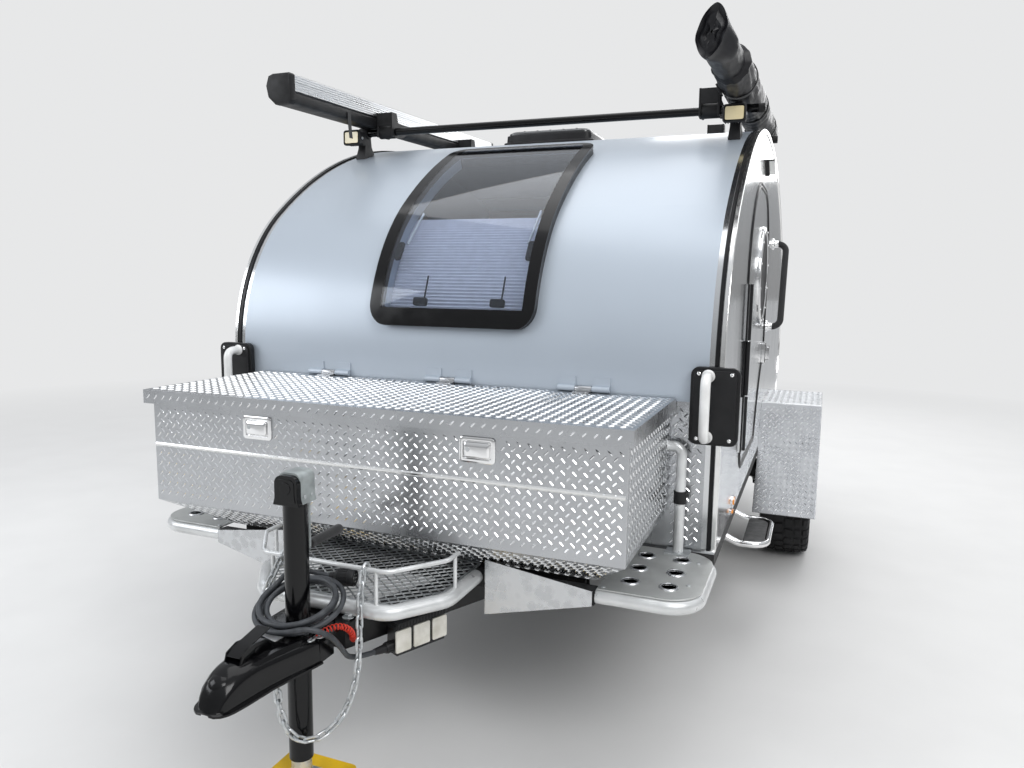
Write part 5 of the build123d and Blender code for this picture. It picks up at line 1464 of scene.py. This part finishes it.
def add_cassette():
    """The cassette awning: a black housing, a grooved silver face, two cast ends and a pull strap."""
    x0, x1 = CASSETTE_X
    h = CASSETTE_H
    start, end = CASSETTE_Y
    inner = (start + CASSETTE_CAP, end - CASSETTE_CAP)
    body = [(x0 + 0.001, h - 0.041), (x0 + 0.004, h - 0.02), (x0 + 0.013, h - 0.007), (x0 + 0.03, h - 0.001),
            (x1 - 0.01, h - 0.001), (x1 - 0.004, h - 0.004), (x1 - 0.002, h - 0.01), (x1 - 0.002, 0.044),
            (x1 - 0.004, 0.04), (x1 - 0.001, 0.036), (x1 - 0.001, 0.014), (x1 - 0.005, 0.005),
            (x1 - 0.012, 0.001), (x0 + 0.036, 0.001), (x0 + 0.01, 0.026)]
    low, high, ribs = GROOVES
    step = (high - low) / ribs
    face = [(x1 - 0.004, low)]
    for k in range(ribs):
        z = low + k * step
        face += [(x1 - 0.0002, z + 0.0006), (x1 - 0.0002, z + step - 0.0024),
                 (x1 - 0.0016, z + step - 0.0018),
                 (x1 - 0.0016, z + step - 0.0004)]
    face.append((x1 - 0.004, high))
    build = Builder()
    for slot, outline in enumerate((body, face)):
        build.rings([[RACK @ Vector((x, y, z)) for x, z in outline] for y in inner], slot)
    full = [(x0, h - 0.04), (x0 + 0.012, h - 0.006), (x0 + 0.03, h), (x1 - 0.006, h), (x1, h - 0.006),
            (x1, 0.014), (x1 - 0.01, 0), (x0 + 0.036, 0), (x0 + 0.008, 0.026)]
    cx, cz = (sum(values) / len(full) for values in zip(*full))
    for a, b, out in ((inner[0], start, -1), (inner[1], end, 1)):
        build.rings([[RACK @ Vector((cx + (x - cx) * scale, a + (b - a) * t, cz + (z - cz) * scale))
                      for x, z in full] for t, scale in ((0, 1.0), (0.7, 1.0), (0.9, 0.93), (1.0, 0.8))], 2)
        for dx, dz in ((-0.026, 0.016), (0.028, 0.022), (0.026, -0.026)):
            at = RACK @ Vector((cx + dx, b - out * 0.0006, cz + dz))
            build.button(axes_place(at, (out, 0, 0), (0, 0, 1)), 0.0052, 0.0046, 0.0022, 0.0026, slot=1)
    build.build("cassette_housing", "plastic anodised cast_black", 0.0012, slot="black_plastic",
                replaces="awning_cassette")
    strap = Builder()
    top, foot = PULL_Z
    strap.rings([[RACK @ Vector((x1 + 0.0015 + sx * 0.0008 + 0.006 * t * t, PULL_Y + sy * 0.011,
                                 top + (foot - top) * t)) for sx, sy in CORNERS]
                 for t in (k / 12 for k in range(13))])
    pull = strap.build("cassette_pull", "foam", slot="vinyl")
    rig.sheet(pull, flat=(0.022, 0.100), held="hung", rests_on=["awning_cassette"])


def add_rack():
    """The roof bars' caps and feet, and the awnings' clamps."""
    build = Builder()
    for bar, bag_x in BARS:
        for _, side in SIDES:
            build.lathe([(0, -0.02), (0.0164, -0.02), (0.0166, 0), (0.015, 0), (0, 0)],
                        on_side(side, (side * BAR_END_X, bar.y, bar.z)), 24)
            x = side * FOOT_X
            build.lathe([(0.0154, -0.022), (0.0215, -0.022), (0.0235, -0.019), (0.0235, 0.019),
                         (0.0215, 0.022), (0.0154, 0.022)], on_side(side, (x, bar.y, bar.z)))
            rings = []
            for t, half_x, half_y in RACK_FOOT:
                ring = []
                for sx, sy in CORNERS:
                    y = bar.y + sy * half_y
                    base = shell_height(y) + 0.0004
                    ring.append(Vector((x + sx * half_x, y, base + (bar.z - 0.006 - base) * t)))
                rings.append(ring)
            build.rings(rings)
            build.button(upright((x, bar.y - 0.021, bar.z - 0.004)), 0.007, 0.007, 0.004, 0.006, 6, 1, -0.004)
        for x in (bag_x, CASSETTE_CLAMP_X):
            at = moved((x, bar.y, bar.z)) @ Matrix.Rotation(RACK_TILT, 4, "X")
            build.lathe([(0.0154, -0.0375), (0.025, -0.0375), (0.0265, -0.035), (0.0265, 0.035),
                         (0.025, 0.0375), (0.0154, 0.0375)], at @ Matrix.Rotation(pi / 2, 4, "Y"))
            for dx in (0.029, -0.037):
                build.prism(CLAMP, 0.008, at @ on_side(1, (dx, 0, 0)))
            build.box((-0.034, -0.03, 0.022), (0.034, -0.022, 0.075), 0, at)
            build.box((-0.034, 0.024, 0.018), (0.034, 0.108, 0.026), 0, at)
            for dy, dz in ((0.045, 0), (0.09, 0.016)):
                for _, side in SIDES:
                    build.button(at @ on_side(side, (side * 0.037, dy, dz)), 0.0068, 0.0068, 0.0035, 0.0042,
                                 6, 1)
    build.build("rack_clamps", "cast_black zinc", 0.0012, slot="black_plastic", replaces="rack_feet")


def add_pods():
    """Two lamp pods on the front feet, each with six lenses and a finned back."""
    build = Builder()
    x, y, z = POD_AT
    for _, side in SIDES:
        place = upright((side * x, y, z))
        build.prism(rounded(0.078, 0.06, 0.01), -0.014, place)
        build.prism(rounded(0.07, 0.052, 0.008), -0.034, place)
        build.stack(place, ((0.08, 0.062, 0.011, -0.012), (0.08, 0.062, 0.011, -0.001),
                            (0.07, 0.052, 0.007, 0.0015), (0.066, 0.048, 0.006, -0.004)))
        for i in (-1, 0, 1):
            for j in (-0.5, 0.5):
                cell = place @ moved((0.0215 * i, 0.022 * j, 0))
                build.lathe([(0, -0.009), (0.004, -0.0085), (0.0098, -0.0002), (0.0103, -0.0012),
                             (0.0103, -0.01), (0, -0.01)], cell, 20, 1)
                build.lathe([(0, -0.0105), (0.0034, -0.0085), (0.0028, -0.006), (0, -0.0052)], cell, 14, 2)
        build.prism(rounded(0.063, 0.045, 0.006), 0.0014, place, 1)
        for k in range(9):
            fin = -0.034 + 0.0085 * k
            build.box((fin - 0.0014, -0.026, -0.056), (fin + 0.0014, 0.026, -0.03), 0, place)
        build.box((-0.008, -0.01, -0.1), (0.008, 0.012, -0.05), 0, place)
        for _, out in SIDES:
            at = place @ Vector((out * 0.039, 0, -0.024))
            build.button(on_side(out, at), 0.0062, 0.0055, 0.001, 0.0012, 16, 3, -0.002)
    build.build("lamp_pods", "cast_black pod_lens clear_lens zinc", 0.0008, slot="black_plastic",
                replaces="work_lights")


def add_vent():
    """The roof vent: a skirt that follows the roof, a smoked dome and its ribs."""
    build = Builder()
    x, y = VENT
    rings = [[Vector((x + px, y + py, shell_height(y + py) + 0.0005 + h)) for px, py in rounded(w, w, corner)]
             for w, corner, h in ((0.408, 0.03, 0), (0.408, 0.03, 0.008), (0.388, 0.028, 0.012))]
    rings.append([Vector((x + px, y + py, 2.006)) for px, py in rounded(0.384, 0.384, 0.026)])
    build.rings(rings)
    build.stack(moved((x, y, 0)), [(w, w, r, z) for w, r, z in (
        (0.364, 0.024, 2.004), (0.372, 0.03, 2.008), (0.372, 0.032, 2.016), (0.352, 0.036, 2.024),
        (0.3, 0.036, 2.0285), (0.2, 0.04, 2.0302))], 1)
    for k in range(5):
        rib = x - 0.12 + 0.06 * k
        build.box((rib - 0.005, y - 0.15, 2.022), (rib + 0.005, y + 0.15, 2.0312), 1)
    build.build("vent_lid", "plastic smoked", 0.0015, slot="black_plastic", replaces="roof_vent")


# Wheels

TYRE_X = 0.9875
HUB_CAP_X = 1.0635
TYRE_PITCHES = 34
# Half of the tyre's section: radius, distance from its middle
TYRE_SIDE = (
    (0.1905, -0.1035), (0.2, -0.1105), (0.2165, -0.1115), (0.222, -0.114), (0.24, -0.1155),
    (0.243, -0.1168), (0.262, -0.1172), (0.285, -0.116), (0.3, -0.115), (0.303, -0.1163),
    (0.32, -0.1155), (0.3425, -0.108), (0.352, -0.096), (0.3575, -0.07), (0.359, -0.03))
# Tread blocks: foot radius, top radius, narrowing, outline as distances from the middle and round the tyre
TYRE_BLOCKS = (
    (0.352, 0.3661, 0.97, ((0.006, -0.026), (0.038, -0.021), (0.042, -0.004), (0.034, 0.022), (0.008, 0.026),
                           (0.001, 0.004))),
    (0.35, 0.3648, 0.98, ((0.049, -0.024), (0.077, -0.027), (0.08, 0.016), (0.054, 0.023))))
# Shoulder blocks: distance from the middle, radius
TYRE_SHOULDER = ((0.086, 0.3615), (0.103, 0.3545), (0.1095, 0.338), (0.112, 0.314))


def add_tyres():
    """The tyres' section and tread blocks, and the hub caps."""
    for name, side in SIDES:
        place = on_side(side, (side * TYRE_X, AXLE.y, AXLE.z))
        build = Builder()
        build.lathe([*TYRE_SIDE, *((r, -h) for r, h in reversed(TYRE_SIDE))], place, 96)
        for first, sign in ((0, 1), (0.5, -1)):
            for turn in spun(place, TYRE_PITCHES, first):
                for foot, top, narrow, outline in TYRE_BLOCKS:
                    low = [turn @ Vector((foot, y, sign * h)) for h, y in outline]
                    high = [turn @ Vector((sqrt(top ** 2 - y * y), y * 0.94, sign * (h * narrow + 0.001)))
                            for h, y in outline]
                    build.rings([low, high])
                rings = []
                for y in (-0.019, 0.017):
                    outer = [turn @ Vector((r, y, sign * (h + 0.004))) for h, r in TYRE_SHOULDER]
                    inner = [turn @ Vector((r - 0.016, y, sign * (h - 0.012))) for h, r in TYRE_SHOULDER]
                    rings.append(outer + inner[::-1])
                build.rings(rings)
        build.build(f"tyre_{name}_tread", "tyre", 0.0012, 1, 40, slot="tyre", replaces=f"tyre_{name}",
                    body=f"{name}_wheel")
        cap = Builder()
        cap.lathe([(0, -0.026), (0.0425, -0.026), (0.0425, -0.006), (0.04, 0.004), (0.034, 0.01),
                   (0.02, 0.0135), (0, 0.0145)], on_side(side, (side * HUB_CAP_X, AXLE.y, AXLE.z)), 40)
        cap.build(f"hub_cap_{name}", "bright", slot="chrome", body=f"{name}_wheel")


# Tongue

COUPLER_TOP = 0.568
COUPLER_FOOT = 0.5065
COUPLER_T = 0.0035
# Stations of the coupler's cover: y, half width, lip, height of the crown, height of the shoulder
COUPLER_ROWS = (
    (-2.1245, 0.012, 0.01, 0.5135, 0.513), (-2.118, 0.022, 0.012, 0.514, 0.5135),
    (-2.112, 0.028, 0.011, 0.528, 0.521), (-2.104, 0.033, 0.011, 0.548, 0.536),
    (-2.092, 0.037, 0.011, 0.564, 0.55), (-2.07, 0.041, 0.011, 0.578, 0.563),
    (-2.048, 0.044, 0.011, 0.583, 0.569), (-2.02, 0.047, 0.011, 0.583, 0.571),
    (-1.99, 0.051, 0.01, 0.58, 0.571), (-1.95, 0.059, 0.01, 0.575, 0.57),
    (-1.91, 0.069, 0.009, 0.5715, 0.569), (-1.87, 0.079, 0.008, 0.569, 0.568),
    (-1.852, 0.082, 0.008, 0.5685, 0.568))
# Stations of the ribs on it: y, x from, x to, height, ground
COUPLER_RIBS = (
    (-2.03, 0.03, 0.036, 0, 0.5735), (-2.01, 0.029, 0.044, 0.004, 0.5735),
    (-1.96, 0.033, 0.052, 0.006, 0.5735), (-1.88, 0.046, 0.068, 0.008, COUPLER_TOP),
    (-1.78, 0.052, 0.068, 0.007, COUPLER_TOP), (-1.762, 0.055, 0.064, 0, COUPLER_TOP))
JACK_Y = -1.822
CRANK_Y = -1.775
STEP_TOP = 0.604
JUNCTION_LEAN = radians(25.0)
# The basket's deck: half width, front, back, where its sides begin to draw in, half width of its nose
DECK_HALF, DECK_FRONT, DECK_BACK, DECK_SIDE, DECK_NOSE = 0.257, -1.702, -1.364, -1.589, 0.18
DECK_Z = (0.6001, 0.6029)
DECK = [(-DECK_HALF, DECK_BACK), (-DECK_HALF, DECK_SIDE), (-DECK_NOSE, DECK_FRONT), (DECK_NOSE, DECK_FRONT),
        (DECK_HALF, DECK_SIDE), (DECK_HALF, DECK_BACK)]
MESH_LONG, MESH_SHORT, MESH_STRAND = 0.034, 0.0145, 0.003


def coupler_ring(y, half, lip, crown, shoulder, cut=0.0):
    """One arch of the cover, from lip to lip, drawn inward by cut."""
    foot = COUPLER_FOOT
    w = half - cut
    if cut:
        pts = [(w + lip - 0.002, foot), (w + 0.001, foot), (w, foot + 0.004)]
    else:
        pts = [(w + lip, foot), (w + lip, foot + 0.0045), (w + 0.0015, foot + 0.006)]
    rise = shoulder - cut - foot - 0.006
    pts += [(w * across, foot + 0.006 + rise * up)
            for across, up in ((1.0, 0.35), (0.985, 0.7), (0.93, 0.9), (0.84, 1.0))]
    pts += [(w * t, shoulder - cut + (crown - shoulder) * cos(t * pi / 2) ** 1.1) for t in (0.66, 0.45, 0.22)]
    arch = pts + [(0, crown - cut)] + [(-x, z) for x, z in reversed(pts)]
    return [Vector((x, y, z)) for x, z in arch]


def add_coupler_details():
    """The coupler's pressed cover, its bolts, ribs and blank plate, and its latch."""
    cover = Builder()
    cover.rings([coupler_ring(*row) + coupler_ring(*row, COUPLER_T)[::-1] for row in COUPLER_ROWS])
    for x0, x1, y0 in ((-0.092, -0.0285, -1.853), (0.0285, 0.092, -1.853), (-0.0285, 0.0285, -1.7935)):
        cover.box((x0, y0, 0.5602), (x1, -1.676, COUPLER_TOP))
    for _, side in SIDES:
        low, high = sorted((side * 0.0785, side * 0.0825))
        cover.box((low, -1.853, COUPLER_FOOT), (high, -1.8, 0.561))
    cover.lathe([(0.0259, COUPLER_FOOT), (0.034, COUPLER_FOOT), (0.034, 0.542), (0.029, 0.56),
                 (0.018, 0.57), (0, 0.573), (0, 0.57), (0.013, 0.566), (0.0215, 0.556), (0.0259, 0.542)],
                moved((0, -2.07, 0)), 36)
    cover.build("coupler_cover", "gloss_black", 0.0008, slot="coupler_black", angle=50, replaces="coupler")
    build = Builder()
    for _, side in SIDES:
        for y, out in ((-1.845, 0.076), (-1.735, 0.08), (-1.693, 0.08)):
            place = moved((side * out, y, COUPLER_TOP))
            build.button(place, 0.0145, 0.0145, 0.0022, 0.0022, 24, 1)
            build.lathe([(0, 0.002), (0.0098, 0.002), (0.0098, 0.0085), (0.0085, 0.0095), (0, 0.0095)],
                        place, 6, 1)
        build.rings([[Vector((side * x, y, ground + up)) for x, up in
                      ((x0, -0.004), (x0 + 0.004, h), (x1 - 0.004, h), (x1, -0.004))]
                     for y, x0, x1, h, ground in COUPLER_RIBS])
    build.prism([(-0.053, -1.864), (-0.046, -1.9), (0.007, -1.915), (0.012, -1.88), (-0.004, -1.855),
                 (-0.03, -1.852)], 0.0014, moved((0, 0, COUPLER_TOP + 0.0035)), 2)
    build.build("coupler_fittings", "gloss_black zinc label", 0.0009, slot="zinc")
    latch = Builder()
    for _, side in SIDES:
        latch.prism([(-2.044, 0.5745), (-2.036, 0.598), (-2.006, 0.608), (-1.962, 0.602), (-1.944, 0.586),
                     (-1.946, 0.5705), (-2.03, 0.5735)], side * 0.0035, on_side(1, (side * 0.0185, 0, 0)))
        latch.button(on_side(side, (side * 0.0215, -1.992, 0.59)), 0.0075, 0.007, 0.003, 0.003, 20)
    latch.prism([(-2.04, 0.592), (-2.02, 0.604), (-1.996, 0.609), (-1.962, 0.616), (-1.942, 0.62),
                 (-1.9405, 0.6165), (-1.96, 0.612), (-1.994, 0.605), (-2.02, 0.599), (-2.036, 0.588)],
                0.034, on_side(1, (-0.017, 0, 0)))
    latch.prism([(-2.03, 0.574), (-1.95, 0.5715), (-1.95, 0.596), (-2.024, 0.594)], 0.026,
                on_side(1, (-0.013, 0, 0)))
    latch.build("coupler_lever", "gloss_black", 0.001, slot="coupler_black", replaces="coupler_latch")


def hood(half, flare, foot, top, corner):
    """The outline of a hood with a flared foot and a rounded top."""
    arcs = [(side * (half - corner) + corner * cos(radians(a)), top - corner + corner * sin(radians(a)))
            for side, start in ((1, 0), (-1, 90)) for a in range(start, start + 91, 15)]
    return [(-half - flare, foot), (half + flare, foot), (half, foot + 0.016), *arcs, (-half, foot + 0.016)]


def add_jack_details():
    """The jack's tube, flange, rounded head and crank."""
    build = Builder()
    y = JACK_Y
    low, high, bore = 0.2402, 0.876, 0.0243
    build.lathe([(bore, low), (0.0285, low), (0.0285, high), (0, high), (0, high - 0.022),
                 (bore, high - 0.022)],
                moved((0, y, 0)), 40)
    for x0, x1, y0, y1 in ((-0.065, 0.065, -0.055, -0.029), (-0.065, 0.065, 0.029, 0.055),
                           (-0.065, -0.028, -0.029, 0.029), (0.028, 0.065, -0.029, 0.029)):
        build.box((x0, y + y0, 0.5681), (x1, y + y1, 0.576))
    for sx, sy in CORNERS:
        build.button(moved((sx * 0.05, y + sy * 0.04, 0.576)), 0.0092, 0.0092, 0.0065, 0.0072, 6, 2)
    build.prism(hood(0.0295, 0.004, 0.869, 0.9418, 0.017), 0.056, upright((0, y + 0.036, 0)), 1)
    build.prism(hood(0.031, 0.005, 0.867, 0.937, 0.02), 0.016, upright((0, y - 0.018, 0)))
    build.prism(hood(0.024, 0.003, 0.876, 0.929, 0.014), 0.0015, upright((0, y - 0.034, 0)))
    front = upright((0, y - 0.0342, 0.908))
    build.lathe([(0.0095, 0), (0.015, 0), (0.0145, 0.0028), (0.01, 0.0028)], front, 28)
    build.button(front, 0.0055, 0.0052, 0.002, 0.002, 16, 1)
    for _, side in SIDES:
        for dy in (0.022, -0.004):
            build.button(on_side(side, (side * 0.0302, y + dy, 0.884)), 0.005, 0.0044, 0.0024, 0.0028, slot=2)
    build.prism(rounded(0.015, 0.17, 0.006), 0.006, upright((0, CRANK_Y, 0.828)), 1)
    build.rod((0, -1.788, 0.905), (0, -1.7735, 0.905), 0.0085, 18, 2)
    build.lathe([(0, 0), (0.005, 0), (0.005, 0.004), (0.0105, 0.005), (0.0115, 0.012), (0.0105, 0.016),
                 (0.0115, 0.02), (0.0118, 0.06), (0.0126, 0.105), (0.0128, 0.122), (0.011, 0.1275),
                 (0, 0.1278)],
                axes_place((0, CRANK_Y, 0.753), (1, 0, 0), (0, 0, -1)), 24, 3)
    build.build("jack_body", "gloss_black cast_zinc zinc foam", 0.0008, slot="coupler_black",
                replaces="jack_tube")
    foot = Builder()
    for sx, sy in CORNERS:
        foot.button(moved((sx * 0.036, y + sy * 0.036, 0.184)), 0.006, 0.006, 0.0035, 0.004, 6)
    foot.build("foot_bolts", "zinc", slot="zinc", body="jack_ram")


def clipped(a, b):
    """The part of a strand inside the deck's outline, or None where hardly any is left."""
    t0, t1 = 0.0, 1.0
    for da, db in edge_distances(DECK, (a, b)):
        if da < 0 and db < 0:
            return None
        if da < 0:
            t0 = max(t0, da / (da - db))
        elif db < 0:
            t1 = min(t1, da / (da - db))
    if t1 - t0 < 0.1:
        return None
    return [Vector((a[0] + (b[0] - a[0]) * t, a[1] + (b[1] - a[1]) * t, DECK_Z[0])) for t in (t0, t1)]


def add_deck():
    """Expanded metal: a mesh of lozenges, with an edge strip."""
    build = Builder()

    def bar(a, b, left, right, height):
        """A flat bar from a to b, with its edges at these distances to the left and right."""
        along = (b - a).normalized()
        across = Vector((-along.y, along.x, 0))
        low = [a - across * right, b - across * right, b + across * left, a + across * left]
        build.add(low + [p + Vector((0, 0, height)) for p in low], BOX_FACES)

    for j in range(int((DECK_BACK - DECK_FRONT) / MESH_SHORT) + 2):
        y = DECK_FRONT + j * MESH_SHORT
        for i in range(-1, int(2 * DECK_HALF / MESH_LONG) + 2):
            x = -DECK_HALF + (i + (j % 2) / 2) * MESH_LONG
            for _, side in SIDES:
                part = clipped((x, y), (x + side * MESH_LONG / 2, y + MESH_SHORT))
                if part:
                    bar(*part, MESH_STRAND / 2, MESH_STRAND / 2, DECK_Z[1] - DECK_Z[0])
    edge = [Vector((x, y, sum(DECK_Z) / 2 - 0.0014)) for x, y in DECK]
    for a, b in zip(edge, edge[1:] + edge[:1]):
        bar(a, b, 0, 0.0072, 0.0029)
    build.build("basket_mesh", "zinc", slot="zinc", angle=20, replaces="basket_deck")


def add_step_details():
    """Rolled lips round the holes of the step platforms, their screws, and the posts' feet and caps."""
    build = Builder()
    for _, side in SIDES:
        for x in (0.675, 0.775):
            for y in (-1.33, -1.227, -1.124):
                build.lathe([(0.0188, -0.001), (0.0188, 0.0026), (0.0205, 0.004), (0.024, 0.0032),
                             (0.0262, 0.0001), (0.0262, -0.001)], moved((side * x, y, STEP_TOP)), 36)
        for x, y in ((0.62, -1.395), (0.62, -1.06), (0.82, -1.3), (0.82, -1.13)):
            build.button(moved((side * x, y, STEP_TOP)), 0.0062, 0.0058, 0.0022, 0.003, 16, 1, -0.001)
        x0, x1 = sorted((side * 0.717, side * 0.787))
        build.box((x0, -1.091, STEP_TOP), (x1, -1.037, 0.609), 1)
        build.rod((side * 0.752, -1.064, 0.752), (side * 0.752, -1.064, 0.788), 0.0185, 28, 2)
    build.build("step_fittings", "swirl zinc plastic", 0.0006, slot="zinc")


def add_junction_box():
    """The junction box's ribbed lid and gland nut, on its own slanted place."""
    lean = JUNCTION_LEAN
    origin = Vector((0.042 + 0.0255 / cos(lean) + 0.11 * tan(lean), -1.625, 0))
    place = moved(origin) @ Matrix.Rotation(-lean, 4, "Z")
    build = Builder()
    for k in range(16):
        y = 0.0098 * k
        build.box((0.0425, y - 0.0022, 0.5125), (0.05, y + 0.0022, 0.524), 1, place)
    for k in range(9):
        x = 0.004 + 0.0048 * k
        build.box((x - 0.0012, -0.008, 0.5125), (x + 0.0012, -0.0056, 0.524), 1, place)
    build.prism(rounded(0.05, 0.158, 0.006), 0.0025, place @ moved((0.0235, 0.075, 0.524)), 1)
    for y, wide in ((0.018, 0.046), (0.075, 0.05), (0.132, 0.046)):
        build.prism(rounded(wide, 0.058, 0.004), 0.005, place @ on_side(1, (0.042, y, 0.478)))
    for turn in spun(place @ upright((0.025, -0.0005, 0.463)), 12):
        build.box((0.012, -0.0018, 0.002), (0.0146, 0.0018, 0.02), 1, turn)
    build.build("junction_ribs", "offwhite plastic", 0.0005, slot="black_plastic")


# Mattress, tail and cargo box

BED_HALF_X = 0.798
BED_Y = (-0.972, 1.138)
# The mattress from below: inset, height
BED_LEVELS = ((0.01, 0.6006), (0.002, 0.612), (0, 0.64), (0, 0.672), (0.004, 0.688), (0.016, 0.6965))
CREASE_Z = 0.886


def add_mattress():
    """A foam mattress in a cloth cover, with piping and a soft crown."""
    build = Builder()
    middle, half_y = (BED_Y[0] + BED_Y[1]) / 2, (BED_Y[1] - BED_Y[0]) / 2
    rings = []
    for level, (inset, z) in enumerate(BED_LEVELS):
        swell = 0.0012 if level > 2 else 0.0
        rings.append([Vector((x, middle + y, z + swell * noise.noise(Vector((x * 7, y * 7, level)))))
                      for x, y in rounded(2 * (BED_HALF_X - inset), 2 * (half_y - inset), 0.06, 6)])
    build.rings(rings)
    for z in (0.614, 0.69):
        seam = rounded(2 * BED_HALF_X - 0.006, 2 * half_y - 0.006, 0.058, 8)
        build.tube([(x, middle + y, z) for x, y in seam], 0.0035, 8, closed=True)
    bed = build.build("mattress_cover", "bed", 0.004, slot="mattress_cloth", angle=50, replaces="mattress")
    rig.padded(bed, fill=0.75)


def add_hatch_details():
    """The hatch's two locks and its two catches."""
    build = Builder()
    for _, side in SIDES:
        build.lathe([(0, 0), (0.024, 0), (0.0235, 0.004), (0.015, 0.0075), (0.012, 0.015),
                     (0.0085, 0.0155), (0, 0.0155)],
                    axes_place((side * 0.09, 2.0645, 0.9), (-1, 0, 0), (0, 0, 1)), 28)
        place = axes_place((side * 0.56, 2.062, 0.86), (-1, 0, 0), (0, 0, 1))
        build.prism(rounded(0.075, 0.11, 0.01), 0.012, place)
        build.prism(rounded(0.044, 0.07, 0.008), 0.018, place, 1)
    build.build("hatch_fittings", "chrome plastic", 0.0015, slot="chrome", body="galley_hatch")


def add_box_details():
    """Recessed latches and a crease on the cargo box."""
    build = Builder()
    for _, side in SIDES:
        place = upright((side * LATCH_X, BOX_FRONT, 0.965))
        build.stack(place, ((0.096, 0.066, 0.01, 0.0002), (0.096, 0.066, 0.01, 0.0036),
                            (0.088, 0.058, 0.008, 0.0058), (0.076, 0.046, 0.006, 0.0052),
                            (0.074, 0.044, 0.006, 0.0008)))
        build.rings([[place @ Vector((x, y + dy, z)) for x, y in rounded(w, h, 0.005)]
                     for w, h, dy, z in ((0.068, 0.038, 0, 0.001), (0.068, 0.038, 0, 0.0075),
                                         (0.062, 0.03, -0.002, 0.0105), (0.058, 0.024, -0.004, 0.0112))])
        build.button(place @ moved((-0.022, 0.002, 0)), 0.006, 0.006, 0.0122, 0.0122, 18, 1, 0.01)
    build.build("latch_sets", "chrome zinc", 0.0008, slot="chrome", replaces="box_latches")
    crease = Builder()
    crease.rings([[Vector((x, y, CREASE_Z + dz)) for y, dz in
                   ((-1.5448, -0.006), (-1.5478, -0.002), (-1.5478, 0.002), (-1.5448, 0.006))]
                  for x in (-0.706, 0.706)])
    crease.build("box_crease", "bright", slot="tread_plate")


# Assembly

dress_nodes()
split_nodes()
soften_nodes()
for add in (add_camera, add_world, add_floor, add_lights, add_cable, add_chains, add_curly_cable,
            add_tread_panels, add_blind, add_window_pane, add_window_details, add_edge_trim, add_doors,
            add_lamps, add_front_grips, add_awning_bag, add_cassette, add_rack, add_pods, add_vent, add_tyres,
            add_coupler_details, add_jack_details, add_deck, add_step_details, add_junction_box,
            add_mattress, add_hatch_details, add_box_details):
    add()

bpy.context.scene.view_settings.view_transform = "Standard"
with open("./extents.json", "w") as file:
    json.dump({"loaded": CAD_BOX, "finished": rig.bounds()}, file, default=list)
